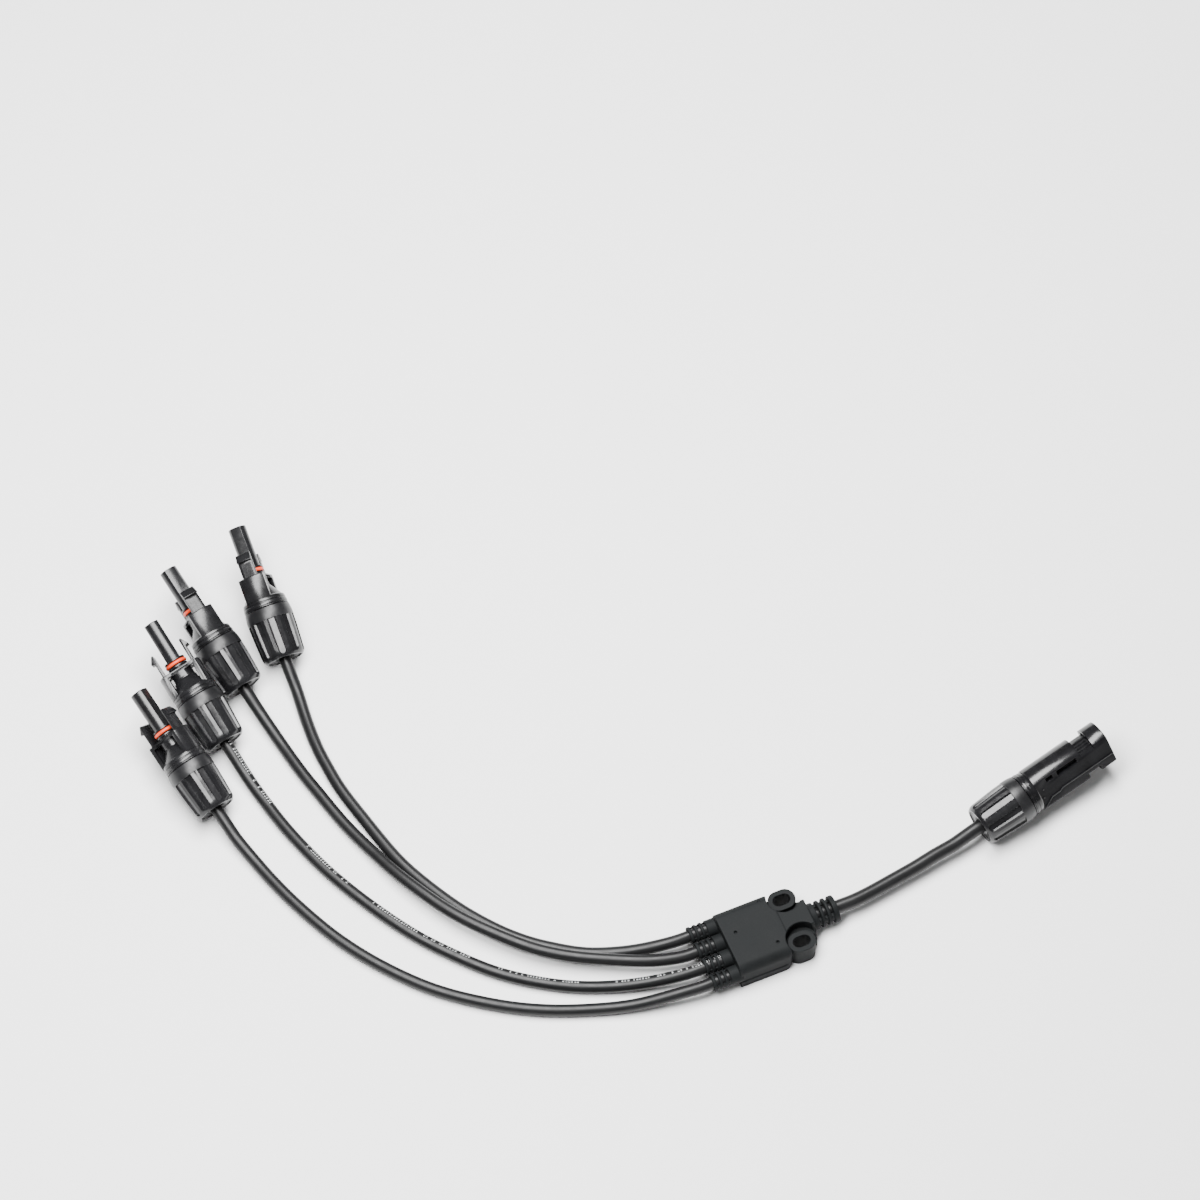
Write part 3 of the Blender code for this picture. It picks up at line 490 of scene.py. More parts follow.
def black_plastic(name, colours, rough_low, rough_high, shine=0.37):
    """Moulded black plastic: faint flow mottling, fine grain and rubbed patches."""
    s = Shader(name)
    flow = s.noise(140.0, 3.0)
    fine = s.noise(5200.0, 2.0)
    s.set("Base Color", s.patches(s.ramp(flow, 0.0, 1.0, 0.35, 0.7), colours))
    rub = s.noise(420.0, 5.0, 0.65)
    s.set("Roughness", s.ramp(rub, rough_low, rough_high, 0.35, 0.65))
    s.set("Normal", s.bump(fine, 0.3, 0.000004, s.bump(flow, 0.2, 0.00003)))
    s.set("Specular IOR Level", shine)
    return s.material


def junction_grey():
    """Matte overmould: fine eroded grain over slow mottling."""
    s = Shader("junction_overmould")
    cloud = s.noise(90.0, 4.0, 0.6)
    grain = s.noise(2400.0, 3.0)
    base = s.patches(s.ramp(cloud, 0.0, 1.0, 0.35, 0.68), JUNCTION)
    s.set("Base Color", s.mix(s.ramp(grain, 0.0, 0.3, 0.45, 0.75), base, (*SPECK, 1.0)))
    s.set("Roughness", s.ramp(cloud, 0.55, 0.68, 0.3, 0.7))
    s.set("Specular IOR Level", 0.08)
    s.set("Normal", s.bump(grain, 0.3, 0.00002, s.bump(cloud, 0.3, 0.00015)))
    return s.material


def cable_jacket(name, printed):
    """Black jacket with drawn lines along its length and, where printed, a row of pale worn dashes."""
    s = Shader(name)
    uv = s.nodes.new("ShaderNodeUVMap")
    split = s.add("ShaderNodeSeparateXYZ", Vector=uv.outputs["UV"])
    around, along = split.outputs["X"], split.outputs["Y"]
    round_lines, long_lines = s.math("MULTIPLY", around, 40.0), s.math("MULTIPLY", along, 30.0)
    stretched = s.add("ShaderNodeCombineXYZ", X=round_lines, Y=long_lines)
    drawn = s.noise(3.0, 3.0, 0.5, stretched.outputs["Vector"])
    grain = s.noise(4200.0, 3.0)
    base = s.patches(s.ramp(drawn, 0.0, 1.0, 0.3, 0.7), JACKET)
    if printed:
        base = s.mix(print_dashes(s, around, along), base, (*PRINT, 1.0))
    s.set("Base Color", base)
    s.set("Roughness", s.ramp(s.noise(260.0, 4.0), 0.34, 0.44, 0.3, 0.7))
    s.set("Specular IOR Level", 0.24)
    s.set("Normal", s.bump(grain, 0.15, 0.00001, s.bump(drawn, 0.2, 0.00003)))
    return s.material


def print_dashes(s, around, along):
    """Strength of the print: short dashes of uneven length in groups, with worn edges."""
    spot = s.math("MULTIPLY", along, 1 / DASH_CELL)
    pick = s.scatter(s.math("FLOOR", spot))
    group_spot = s.math("MULTIPLY", along, 1 / (GROUP_CELLS * DASH_CELL))
    group = s.scatter(s.math("ADD", s.math("FLOOR", group_spot), 31.7))
    dash = s.math("LESS_THAN", s.math("FRACT", spot), s.math("MULTIPLY_ADD", pick, 0.45, 0.25))
    filled = s.math("GREATER_THAN", pick, 0.22)
    shown = s.math("GREATER_THAN", group, 0.3)
    off_line = s.math("ABSOLUTE", s.math("SUBTRACT", around, 0.5))
    band = s.math("LESS_THAN", off_line, DASH_HALF)
    hollow = s.math("GREATER_THAN", off_line, s.math("MULTIPLY", pick, 0.024))
    mark = s.math("MULTIPLY", s.math("MULTIPLY", dash, filled), s.math("MULTIPLY", shown, band))
    worn = s.ramp(s.noise(900.0, 3.0), 0.35, 0.95, 0.35, 0.6)
    return s.math("MULTIPLY", s.math("MULTIPLY", mark, hollow), worn)


def orange_rubber():
    """Silicone sealing ring with a soft bloom and a fine grain."""
    s = Shader("seal_orange_silicone")
    cloud = s.noise(500.0, 4.0)
    s.set("Base Color", s.patches(s.ramp(cloud, 0.0, 1.0, 0.3, 0.7), ORANGE))
    s.set("Roughness", s.ramp(cloud, 0.34, 0.46, 0.3, 0.7))
    s.set("Normal", s.bump(s.noise(2400.0, 2.0), 0.15, 0.00002))
    return s.material


def black_rubber():
    s = Shader("seal_black_rubber")
    cloud = s.noise(380.0, 4.0)
    s.set("Base Color", s.patches(cloud, SEAL))
    s.set("Roughness", s.ramp(cloud, 0.6, 0.75, 0.3, 0.7))
    s.set("Normal", s.bump(s.noise(2000.0, 2.0), 0.3, 0.00003))
    return s.material


def metal(name, colours, rough):
    """Plated or bare metal with a fine grain and slight tarnish."""
    s = Shader(name)
    s.set("Metallic", 1.0)
    cloud = s.noise(300.0, 4.0)
    s.set("Base Color", s.patches(s.ramp(cloud, 0.0, 1.0, 0.3, 0.7), colours))
    s.set("Roughness", s.ramp(s.noise(900.0, 3.0), rough - 0.06, rough + 0.1, 0.3, 0.7))
    s.set("Normal", s.bump(s.noise(1800.0, 2.0), 0.15, 0.00002))
    return s.material


# ---------------------------------------------------------------- gland pieces

def add_loft(shape, lower, upper):
    """Closed body between two outlines with the same number of points."""
    rings = [[shape.verts.new(Vector(point) * MM) for point in outline] for outline in (lower, upper)]
    count = len(lower)
    for k in range(count):
        n = (k + 1) % count
        shape.faces.new((rings[0][k], rings[0][n], rings[1][n], rings[1][k]))
    shape.faces.new(rings[0][::-1])
    shape.faces.new(rings[1])


def pocket_cutter(index):
    """Tool for one grip pocket: square in front, round at the cable end, with walls that lean outwards."""
    rear, front = POCKET
    rings = []
    for half, flare in ((POCKET_FLOOR_HALF, False), (POCKET_OUTER_HALF, True)):
        outline = [(-half, front), (half, front)] + arc(0.0, rear + POCKET_FLOOR_HALF, half, 0, -180, 10)
        ring = []
        for y, z in outline:
            share = (z - rear) / (front - rear)
            floor = POCKET_FLOOR_R[0] + share * (POCKET_FLOOR_R[1] - POCKET_FLOOR_R[0])
            ring.append((POCKET_OUTER_R if flare else floor, y, z))
        rings.append(ring)
    shape = bmesh.new()
    add_loft(shape, *rings)
    bmesh.ops.recalc_face_normals(shape, faces=shape.faces)
    tool = from_bmesh(f"pocket_{index}", shape)
    tool.data.transform(Matrix.Rotation(2 * math.pi * index / POCKETS, 4, "Z"))
    return tool


def land_wave(r, z, a):
    """Radius of the nut's outside: three flats to a sector, fading at the cable end."""
    low, high = LAND
    if r < LAND_MIN_R or z > high or z < low:
        return r
    fade = min(1.0, (z - low) / LAND_FADE)
    off = (a + FLAT_TURN / 2) % FLAT_TURN - FLAT_TURN / 2
    flat = (r - LAND_STEP) * math.cos(FLAT_TURN / 2) / math.cos(off)
    return r + (flat - r) * fade


def nut_mesh():
    """Cap nut: smooth ring in front, nine grip pockets between flat lands, rounded cable end with a rim."""
    nut = turned("nut", [
        (9.7, NUT_LEN, 0.3), (10.1, 19.5, 0.9), (10.06, LAND[1] + 0.12, 0), (10.05, LAND[1], 0),
        (10.0, 13.0, 1.5), (9.7, 8.0, 0), (9.4, 3.5, 0.6), (9.3, 2.4, 0), (9.05, 1.3, 0.5), (8.1, 0.0, 0.5),
        (7.5, 0.0, 0.25), (7.2, 0.6, 0.2), (4.3, 0.6, 0.3), (3.7, 1.0, 0.2), (3.25, 1.4, 0.1),
        (3.25, 2.4, 0.1), (7.7, 4.0, 0.1), (7.7, NUT_LEN, 0.2),
    ], FLATS * SIDES_TO_A_FLAT, wave=land_wave)
    cut(nut, *[pocket_cutter(i) for i in range(POCKETS)])
    smooth(soften(nut, 0.1, 24), 12)
    for face in nut.data.polygons:
        x, y, z = face.center / MM
        face.material_index = 1 if z > LAND[1] or math.hypot(x, y) < GLAND_BORE_R else 0
    return nut


def thread_wave(r, z, a):
    """Radius of the neck's one-start thread, shallower at its two ends."""
    rear, front = NECK_REAR + 0.4, NUT_LEN + 0.2
    if r < THREAD_R - 0.9 or z > front or z < rear:
        return r
    ridge = abs(2 * ((z / THREAD_PITCH - a / (2 * math.pi)) % 1.0) - 1)
    fade = min(1.0, (z - rear) / THREAD_FADE, (front - z) / THREAD_FADE)
    return r - THREAD_DEPTH * max(0.0, min(1.0, 1.5 * ridge - 0.25)) * fade


def neck_mesh():
    """Threaded neck behind the collar, with a plain bore."""
    count = 60
    pitch = (COLLAR_REAR - NECK_REAR - 0.2) / count
    steps = [(THREAD_R, COLLAR_REAR - pitch * k, 0) for k in range(count)]
    rear = [(THREAD_R - 0.4, NECK_REAR, 0), (GLAND_BORE_R, NECK_REAR, 0), (GLAND_BORE_R, COLLAR_REAR, 0)]
    return turned("neck", steps + rear, wave=thread_wave)


def collar_profile():
    """Collar in front of the nut with its two ring lines, as (r, z, fillet) down its outer side."""
    return [
        (9.15, 26.7, 0.35), (9.4, 25.2, 0.15), (9.15, 25.05, 0.06), (9.15, 24.75, 0.06), (9.55, 24.6, 0.15),
        (HEAD_R, 23.5, 0.15), (9.3, 23.35, 0.06), (9.3, 23.1, 0.06), (9.55, 23.0, 0.1),
        (9.55, COLLAR_REAR, 0.05), (GLAND_BORE_R, COLLAR_REAR, 0.1), (GLAND_BORE_R, 20.8, 0.1),
    ]


# ---------------------------------------------------------------- plug

def mirrored(name, side, low, high):
    """Block between two corners, turned half round the axis when side is -1."""
    corners = [(side * low[0], side * low[1], low[2]), (side * high[0], side * high[1], high[2])]
    ends = [sorted(pair) for pair in zip(*corners)]
    return block(f"{name}_{side}", [pair[0] for pair in ends], [pair[1] for pair in ends])


def plug_body():
    """Barrel with two flats, ring groove, core, cone, collar and two shroud plates tied to it by a web."""
    body = turned("plug_shape", [
        (BARREL_R, PLUG_LEN, 0.45), (BARREL_R, 41.4, 0.12), (4.7, 41.4, 0.2), (4.7, 40.7, 0.15),
        (3.2, 40.7, 0.1), (3.2, 38.6, 0.1), (4.5, 38.6, 0.25), (4.5, 37.8, 0.15), (4.1, 37.65, 0.1),
        (4.1, 37.4, 0.15), (4.8, 36.9, 0.6), (4.8, 32.3, 0.3), (5.05, 32.15, 0.1), (8.5, 27.0, 0.5),
        *collar_profile(),
        (CONTACT_BORE_R, 21.8, 0.2), (CONTACT_BORE_R, PLUG_LEN, 0.15),
    ])
    ring = turned("shroud", [
        (HEAD_R, 37.0, 0.5), (HEAD_R, 26.3, 0.0), (8.1, 26.3, 0.0), (8.1, 35.5, 0.4), (4.4, 35.5, 0.0),
        (4.4, 37.0, 0.0),
    ])
    common(ring, block("shroud_width", (-12, -SHROUD_HALF, 25.0), (12, SHROUD_HALF, 38.0)))
    join(body, ring)
    tools = []
    for side in (-1, 1):
        tools.append(mirrored("slot", side, (5.2, -3.55, 28.3), (8.3, 3.55, 38.5)))
        tools.append(mirrored("barrel_flat", side, (BARREL_FLAT, -6.0, 41.5), (6.0, 6.0, 61.0)))
        tools.append(mirrored("core_flat", side, (-4.0, 4.5, 33.0), (4.0, 7.0, 36.4)))
    cut(body, *tools)
    return smooth(soften(body, 0.14, 38), 32)


def latch_mesh():
    """Flat finger with an outward barb, and three fine grooves along its outer face."""
    side_view = [
        (6.3, 28.6), (7.7, 28.6), (7.7, 43.8), (8.9, 43.95), (9.1, 44.35), (7.5, 47.1), (7.2, 47.5),
        (6.7, 47.5), (6.3, 47.0),
    ]
    arm = prism("latch", side_view, -FINGER_HALF, FINGER_HALF, "Y", 0.16)
    grooves = [
        block(f"groove_{y}", (7.58, y - 0.16, 30.0), (8.2, y + 0.16, 43.0)) for y in (-1.7, 0.0, 1.7)]
    return smooth(cut(arm, *grooves), 35)


# ---------------------------------------------------------------- receptacle

def rail(side):
    """Thin raised line down one flat of the head, which steps outwards near the collar."""
    line = [(-2.4, 63.6), (-2.4, 37.6), (-3.3, 36.0), (-3.3, 32.0), (-6.1, 27.6)]
    outline = [(x - RAIL_HALF, z) for x, z in line] + [(x + RAIL_HALF, z) for x, z in reversed(line)]
    made = prism(f"rail_{side}", outline, -HEAD_FLAT - RAIL_HEIGHT, 0.5 - HEAD_FLAT, "Y", 0.08)
    if side < 0:
        made.data.transform(Matrix.Rotation(math.pi, 4, "Z"))
    return made


def stud(x, z, side):
    """Small round stud on one flat of the head."""
    made = rod(f"stud_{x}_{side}", 0.42, HEAD_FLAT - 0.4, HEAD_FLAT + 0.22, 20)
    stand = Matrix.Translation(Vector((x, 0.0, z)) * MM) @ Matrix.Rotation(-math.pi / 2, 4, "X")
    made.data.transform(Matrix.Rotation(0.0 if side > 0 else math.pi, 4, "Z") @ stand)
    return made


def receptacle_body():
    """Collar, head with two dull flats, latch notches and channels, windows and mating bore."""
    body = turned("receptacle_shape", [
        (0, 27.4, 0), (8.5, 27.4, 0.3), *collar_profile(), (0, 20.8, 0),
    ])
    head = turned("receptacle_head", [
        (0, RECEPTACLE_LEN, 0), (HEAD_R, RECEPTACLE_LEN, 0.4), (HEAD_R, 26.8, 0.3), (0, 26.8, 0),
    ])
    common(head, block("flats", (-12, -HEAD_FLAT, 25.0), (12, HEAD_FLAT, 70.0)))
    join(body, head)
    tools = [turned("bore", [
        (0, 66.0, 0), (5.7, 66.0, 0), (5.2, 63.5, 0), (5.2, 59.3, 0.1), (MATING_BORE_R, 59.0, 0.1),
        (MATING_BORE_R, 40.5, 0), (CONTACT_BORE_R, 40.5, 0), (CONTACT_BORE_R, 18.5, 0), (0, 18.5, 0),
    ], 72)]
    for side in (-1, 1):
        tools += [
            mirrored("notch", side, (4.7, -9.0, 50.5), (12.0, 9.0, 57.3)),
            mirrored("channel", side, (6.0, -3.5, 56.0), (8.6, 3.5, 66.0)),
            mirrored("front_window", side, (3.4, 4.6, 38.1), (6.2, 9.0, 48.2)),
            mirrored("rear_window", side, (4.1, 4.6, 32.5), (6.2, 9.0, 35.8)),
            mirrored("side_step", side, (-12.0, HEAD_FLAT - 0.3, 37.8), (-2.6, 9.0, 66.0)),
        ]
    cut(body, *tools)
    details = []
    for side in (-1, 1):
        details += [rail(side), stud(2.1, 29.8, side), stud(-1.7, 28.6, side)]
        for y in (-3.2, -1.1, 1.1, 3.2):
            details.append(mirrored(f"notch_rib_{y}", side, (4.5, y - 0.2, 50.3), (4.95, y + 0.2, 57.5)))
    soften(body, 0.15, 38)
    smooth(join(body, *details), 32)
    for face in body.data.polygons:
        above = abs(face.center.y) / MM - HEAD_FLAT
        on_flat = abs(face.normal.y) > 0.98 and -0.4 < above < 0.05
        face.material_index = 1 if on_flat else 0
    return body


# ---------------------------------------------------------------- junction

def along_x(obj):
    """Turns a prism so that its outline stands across the junction and its length runs along X."""
    obj.data.transform(Matrix(((0, 0, 1, 0), (1, 0, 0, 0), (0, 1, 0, 0), (0, 0, 0, 1))))
    return obj


def junction_block():
    """Block on a slightly wider foot, with rounded long edges and rounded corners on the trunk side."""
    low_x = BODY_X[0]
    end_view = (
        [(-FOOT_HALF, 0.0), (FOOT_HALF, 0.0), (FOOT_HALF, FOOT_TOP), (BLOCK_HALF, 4.5), (BLOCK_HALF, 9.5)]
        + arc(10.8, 9.7, EDGE_R, 0, 90, 10) + arc(-10.8, 9.7, EDGE_R, 90, 180, 10)
        + [(-BLOCK_HALF, 9.5), (-BLOCK_HALF, 4.5), (-FOOT_HALF, FOOT_TOP)]
    )
    body = along_x(prism("junction", end_view, low_x, BLOCK_FRONT))
    plan = (
        [(low_x - 1, -FOOT_HALF), (1.35, -FOOT_HALF)] + arc(1.35, -11.0, CORNER_R, -90, 0, 10)
        + arc(1.35, 11.0, CORNER_R, 0, 90, 10) + [(1.35, FOOT_HALF), (low_x - 1, FOOT_HALF)]
    )
    return common(body, prism("plan", plan, -1.0, 16.0))


def ear(name, sign):
    """Oblong ear from the base to its seat, on the far side when sign is 1."""
    return prism(name, pill(EAR[0], sign * EAR[1], EAR_END_R, EAR_SPAN), 0.0, EAR_TOP)


def junction_mesh():
    """Overmoulded body: block and neck, ears in round recesses, ringed strain reliefs and pin marks."""
    low_x, high_x = BODY_X
    body = junction_block()
    neck_view = [
        (-8.0, 0.0), (8.0, 0.0), (8.0, 8.6), (7.7, 9.2), (6.6, 9.4), (6.1, 13.3), (5.6, 13.8),
        (-5.6, 13.8), (-6.1, 13.3), (-6.6, 9.4), (-7.7, 9.2), (-8.0, 8.6),
    ]
    neck = along_x(prism("neck", neck_view, 2.0, high_x))
    tools = [neck, block("lug", (15.0, -10.0, 0.1), (18.4, -6.0, 6.5), 0.6)]
    for sign in (-1, 1):
        tools.append(ear(f"ear_{sign}", sign))
    for i, y in enumerate(PORT_Y):
        tools.append(relief(
            f"relief_{i}", low_x + 1.0, -1, y, outer=3.85, inner=BRANCH_R + 0.3, waist=3.3,
            pitch=2.55, ring=1.25, end_ring=1.4, bar=1.6))
    tools.append(relief(
        "relief_trunk", high_x - 1.0, 1, 0.0, outer=5.85, inner=TRUNK_R + 0.3, waist=4.7,
        pitch=2.8, ring=1.35, end_ring=2.2, bar=2.2))
    join(body, *tools)
    cutters = []
    for sign in (-1, 1):
        x, y = EAR[0], sign * EAR[1]
        recess = rod(f"recess_{sign}", RECESS_R, RECESS_FLOOR, 16.0, 72, (x + 0.6, y))
        cutters.append(cut(recess, ear(f"ear_keep_{sign}", sign)))
        cutters.append(prism(f"slot_{sign}", pill(x, y, SLOT_END_R, SLOT_SPAN), -2.0, 14.0))
    for i, y in enumerate(PORT_Y):
        cutters.append(lying_rod(f"bore_{i}", BRANCH_R + 0.25, low_x - RELIEF_LEN - 2, -11.0, y))
    cutters.append(lying_rod("bore_trunk", TRUNK_R + 0.25, 11.0, high_x + RELIEF_LEN + 2, 0.0))
    for x, y in PIN_MARKS:
        cutters.append(rod(f"pin_mark_{x}", 0.62, 12.9, 15.0, 24, (x, y)))
    cut(body, *cutters)
    return moulded(body, 0.22, 3)


def lying_rod(name, radius, low, high, y):
    """Cylinder along X at port height."""
    tool = rod(name, radius, low, high)
    turn = Matrix.Rotation(math.pi / 2, 4, "Y")
    tool.data.transform(Matrix.Translation(Vector((0, y, PORT_Z)) * MM) @ turn)
    return tool


def relief(name, start, direction, y, outer, inner, waist, pitch, ring, end_ring, bar):
    """Strain relief from start along X: rings that stand out from two side bars, with gaps between them."""
    length = RELIEF_LEN + 1.0
    fars = [length - end_ring - i * pitch for i in range(3)]
    gaps = [(far, far - pitch + ring) for far in fars]
    outline = [(outer - 0.05, length, 0.35)]
    for far, near in gaps:
        outline += [
            (outer - 0.05, far, 0.25), (waist, far, 0.1), (waist, near, 0.1), (outer - 0.05, near, 0.25)]
    outline += [(outer - 0.05, 0.0, 0.0), (inner - 0.1, 0.0, 0.0), (inner - 0.1, length, 0.2)]
    sleeve = turned(name, outline, 64)
    cutters = []
    for i, (far, near) in enumerate(gaps):
        for sign in (-1, 1):
            x0, x1 = sorted((sign * bar, sign * (outer + 1)))
            cutters.append(block(f"gap_{i}_{sign}", (x0, -outer - 1, near), (x1, outer + 1, far)))
    cut(sleeve, *cutters)
    turn = Matrix(((0, 0, direction, 0), (0, 1, 0, 0), (-direction, 0, 0, 0), (0, 0, 0, 1)))
    sleeve.data.transform(Matrix.Translation(Vector((start, y, PORT_Z)) * MM) @ turn)
    return sleeve


# ---------------------------------------------------------------- cables

def smooth_curve(points, count):
    """Evenly spaced points on the natural cubic spline through the given points, and its length."""
    points = np.array(points, dtype=float)
    knots = np.concatenate(([0.0], np.cumsum(np.sqrt(np.linalg.norm(np.diff(points, axis=0), axis=1)))))
    size = len(points)
    gaps = np.diff(knots)
    matrix, right = np.eye(size), np.zeros((size, 3))
    for i in range(1, size - 1):
        matrix[i, i - 1:i + 2] = gaps[i - 1], 2 * (gaps[i - 1] + gaps[i]), gaps[i]
        right[i] = 6 * ((points[i + 1] - points[i]) / gaps[i] - (points[i] - points[i - 1]) / gaps[i - 1])
    bend = np.linalg.solve(matrix, right)

    def at(u):
        i = min(int(np.searchsorted(knots, u, side="right")) - 1, size - 2)
        a, b, h = knots[i + 1] - u, u - knots[i], gaps[i]
        cubic = (bend[i] * a ** 3 + bend[i + 1] * b ** 3) / (6 * h)
        return cubic + (points[i] / h - bend[i] * h / 6) * a + (points[i + 1] / h - bend[i + 1] * h / 6) * b

    fine = np.array([at(u) for u in np.linspace(0.0, knots[-1], 1200)])
    travel = np.concatenate(([0.0], np.cumsum(np.linalg.norm(np.diff(fine, axis=0), axis=1))))
    even = np.linspace(0.0, travel[-1], count)
    return np.column_stack([np.interp(even, travel, fine[:, k]) for k in range(3)]), travel[-1]


def cable_route(key, side, exit_x, port_y):
    """Route from inside the connector to inside the junction, straight at both ends."""
    rear, _, _, forward = connector_axes(key)
    start = [tuple(rear + forward * d) for d in (CABLE_IN, CABLE_IN / 2, 0.0, -STRAIGHT / 2, -STRAIGHT)]
    end = [(exit_x + side * d, port_y, PORT_Z) for d in (4.0, -2.0, -8.0, -14.0)]
    return start + ROUTES[key] + end + [(side * CABLE_END, port_y, PORT_Z)]


def tube(name, route, radius, print_side, sides=28):
    """Cable mesh, its path and its length. U runs round it from behind the print, V along it in metres."""
    count = int(smooth_curve(route, 2)[1] / TUBE_STEP)
    path, length = smooth_curve(route, count)
    path[:, 2] = np.maximum(path[:, 2], radius + LIFT)
    tangents = np.gradient(path, axis=0)
    tangents /= np.linalg.norm(tangents, axis=1)[:, None]
    lean = math.radians(print_side)
    shape = bmesh.new()
    uv = shape.loops.layers.uv.new("UVMap")
    rings = []
    step = length / (count - 1)
    for i, (point, tangent) in enumerate(zip(path, tangents)):
        level = np.cross([0, 0, 1.0], tangent)
        level /= np.linalg.norm(level)
        top = np.cross(tangent, level)
        facing = top * math.sin(lean) + level * math.cos(lean)
        beside = np.cross(tangent, facing)
        swell = 1.0 - SWELL * (0.5 + 0.5 * math.sin(i * 0.37 + 1.3 * math.sin(i * 0.11)))
        ring = []
        for k in range(sides):
            a = 2 * math.pi * k / sides + math.pi
            offset = (facing * math.cos(a) + beside * math.sin(a)) * radius * swell
            ring.append(shape.verts.new((point + offset) * MM))
        rings.append(ring)
    for i, (one, two) in enumerate(zip(rings, rings[1:])):
        for k in range(sides):
            n = (k + 1) % sides
            face = shape.faces.new((one[k], one[n], two[n], two[k]))
            across = (k / sides, (k + 1) / sides, (k + 1) / sides, k / sides)
            down = (i, i, i + 1, i + 1)
            for loop, u, v in zip(face.loops, across, down):
                loop[uv].uv = (u, v * step * MM)
    shape.faces.new(rings[0][::-1])
    shape.faces.new(rings[-1])
    bmesh.ops.recalc_face_normals(shape, faces=shape.faces)
    return smooth(from_bmesh(name, shape), 50), [tuple(p * MM) for p in path], length * MM


# ---------------------------------------------------------------- assembly

def dress_glands(mats):
    nut, neck = nut_mesh(), smooth(neck_mesh(), 50)
    for key in KEYS:
        place = connector_matrix(key)
        turned_nut = place @ Matrix.Rotation(math.radians(NUT_TURN[key]), 4, "Z")
        piece(
            key + "_nut", nut, turned_nut, key + "_nut", "connector_black", mats["nut"], key + "_gland_nut",
            second=mats["satin"])
        piece(key + "_neck", neck, place, "root", "connector_black", mats["black"])
    for obj in (nut, neck):
        bpy.data.objects.remove(obj)


def dress_plugs(mats):
    body, latch = plug_body(), latch_mesh()
    ring = smooth(turned("ring", [
        (4.15 + 0.74 * math.cos(a), RING_Z + 0.8 * math.sin(a), 0)
        for a in [math.pi / 2 - 2 * math.pi * i / 20 for i in range(20)]], 72), 60)
    for key in PLUG_KEYS:
        place = connector_matrix(key)
        piece(key + "_body", body, place, "root", "connector_black", mats["black"], key + "_housing")
        piece(key + "_ring", ring, place, "root", "seal_orange", mats["orange"], key + "_o_ring")
        for side, turn in (("a", 0.0), ("b", math.pi)):
            piece(
                f"{key}_finger_{side}", latch, place @ Matrix.Rotation(turn, 4, "Z"), f"{key}_latch_{side}",
                "connector_black", mats["black"], f"{key}_latch_arm_{side}")
    for obj in (body, latch, ring):
        bpy.data.objects.remove(obj)


def dress_receptacle(mats):
    body = receptacle_body()
    place = connector_matrix("receptacle")
    piece(
        "receptacle_body", body, place, "root", "connector_black", mats["gloss"], "receptacle_housing",
        second=mats["flat"])
    bpy.data.objects.remove(body)


def dress_junction(mats):
    body = junction_mesh()
    place = Matrix.Identity(4)
    piece("junction_moulding", body, place, "root", "junction_grey", mats["grey"], "junction_body")
    bpy.data.objects.remove(body)


def dress_cables(mats):
    for i, key in enumerate(KEYS):
        if key == "receptacle":
            name, radius, side, port_y = "trunk_cable", TRUNK_R, 1, 0.0
        else:
            name, radius, side, port_y = f"branch_cable_{i + 1}", BRANCH_R, -1, PORT_Y[i]
        exit_x = side * (BODY_X[1] + RELIEF_LEN)
        route = cable_route(key, side, exit_x, port_y)
        made, path, length = tube(name + "_jacket", route, radius, PRINT_SIDE[key])
        made.data.materials.append(mats["printed_cable" if key == PRINTED else "cable"])
        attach(made, "root")
        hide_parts(name)


def dress_inner(mats):
    """CAD pieces whose shape is right keep their mesh and get a finish; busbar and conductors are copper."""
    finishes = {"_clamp_cage": mats["black"], "_cable_seal": mats["rubber"], "_contact": mats["tin"]}
    for name, obj in frame["nodes"].items():
        if obj.hide_render:
            continue
        found = [finish for ending, finish in finishes.items() if name.endswith(ending)]
        obj.data.materials.clear()
        obj.data.materials.append(found[0] if found else mats["copper"])


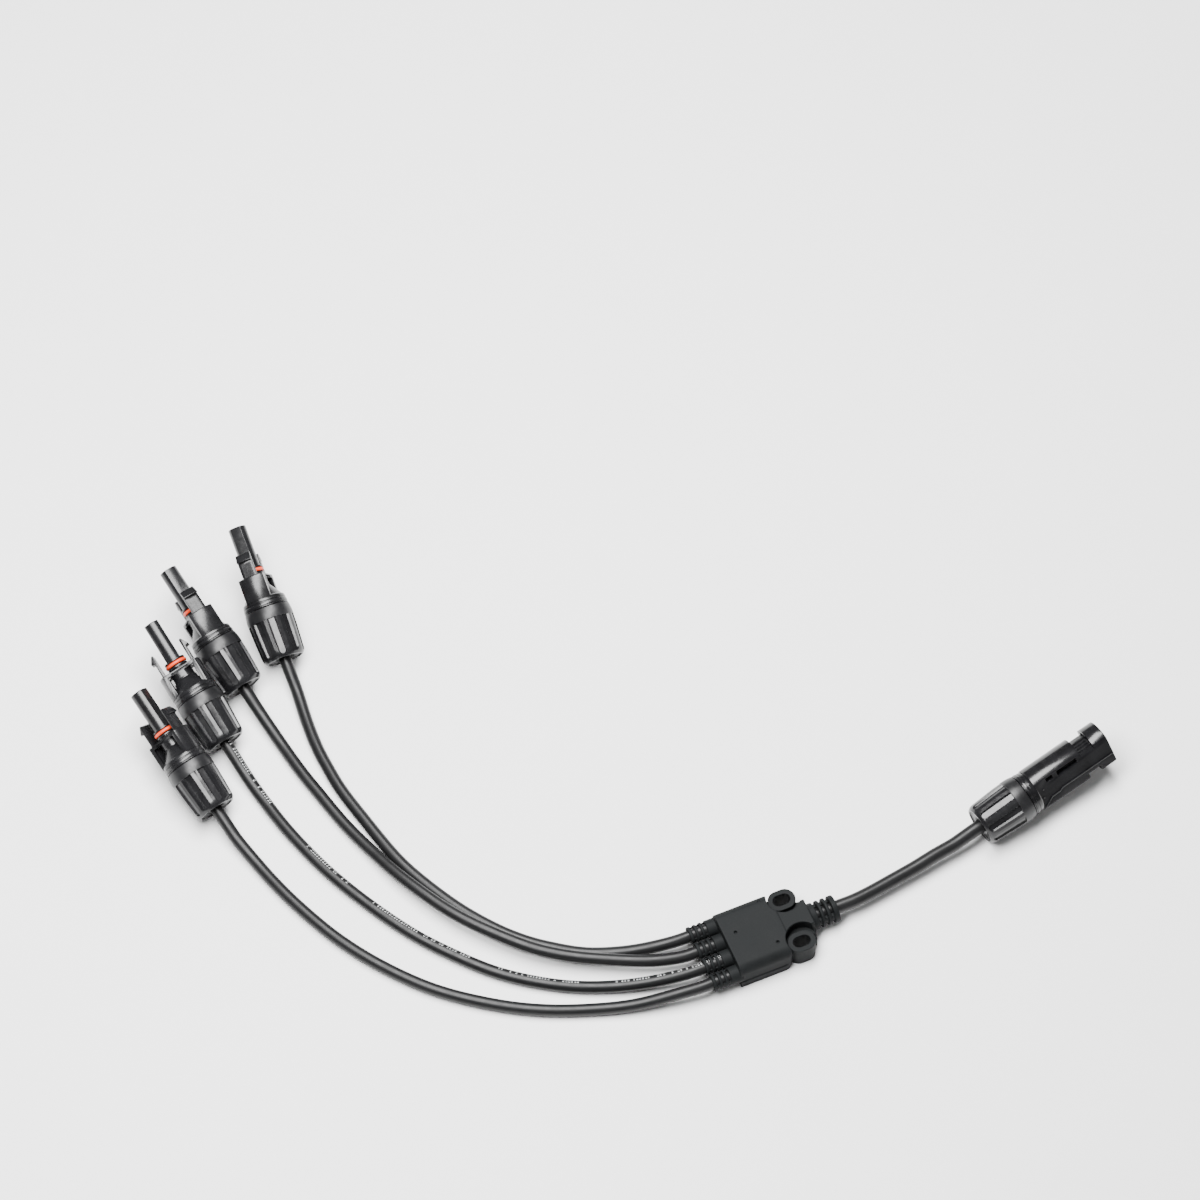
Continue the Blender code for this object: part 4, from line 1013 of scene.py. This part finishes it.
def camera():
    """Long lens, looking down from the near side, turned to the harness's lie."""
    turn, rise = math.radians(VIEW_TURN), math.radians(VIEW_RISE)
    back = Vector((math.sin(turn) * math.cos(rise), -math.cos(turn) * math.cos(rise), math.sin(rise)))
    data = bpy.data.cameras.new("camera")
    data.lens = LENS
    data.sensor_width = SENSOR
    cam = add_object("camera", data)
    cam.location = Vector(VIEW_TARGET) + back * (VIEW_WIDTH * LENS / SENSOR)
    cam.rotation_mode = "QUATERNION"
    cam.rotation_quaternion = (-back).to_track_quat("-Z", "Y")
    bpy.context.scene.camera = cam


def area_light(name, location, target, size, power):
    data = bpy.data.lights.new(name, "AREA")
    data.shape = "RECTANGLE"
    data.size, data.size_y = size
    data.energy = power
    light = add_object(name, data)
    light.location = location
    light.rotation_mode = "QUATERNION"
    light.rotation_quaternion = (Vector(target) - Vector(location)).to_track_quat("-Z", "Y")


def studio():
    """Pale floor under one wide soft box overhead, with a weak fill light and a dim even sky."""
    shape = bmesh.new()
    bmesh.ops.create_grid(shape, x_segments=1, y_segments=1, size=4.0)
    floor = from_bmesh("floor", shape)
    s = Shader("floor_paper")
    s.set("Base Color", s.patches(s.noise(30.0), PAPER))
    s.set("Roughness", 0.9)
    floor.data.materials.append(s.material)
    world = bpy.data.worlds.new("studio")
    bpy.context.scene.world = world
    world.use_nodes = True
    world.node_tree.nodes["Background"].inputs["Color"].default_value = (1.0, 1.0, 1.0, 1.0)
    world.node_tree.nodes["Background"].inputs["Strength"].default_value = SKY
    area_light("overhead", **OVERHEAD)
    area_light("near", **NEAR)


def main():
    mats = {
        "black": black_plastic("housing_black", BLACK, 0.22, 0.30),
        "gloss": black_plastic("receptacle_black", DEEP_BLACK, 0.16, 0.24),
        "flat": black_plastic("receptacle_flat_black", DEEP_BLACK, 0.3, 0.4, shine=0.1),
        "satin": black_plastic("nut_ring_black", BLACK, 0.34, 0.43),
        "nut": black_plastic("nut_black", BLACK, 0.19, 0.27),
        "grey": junction_grey(),
        "cable": cable_jacket("cable_jacket", False),
        "printed_cable": cable_jacket("cable_jacket_printed", True),
        "orange": orange_rubber(),
        "rubber": black_rubber(),
        "tin": metal("contact_tin", TIN, 0.3),
        "copper": metal("bare_copper", COPPER, 0.34),
    }
    camera()
    studio()
    dress_glands(mats)
    dress_plugs(mats)
    dress_receptacle(mats)
    dress_junction(mats)
    dress_cables(mats)
    dress_inner(mats)


main()
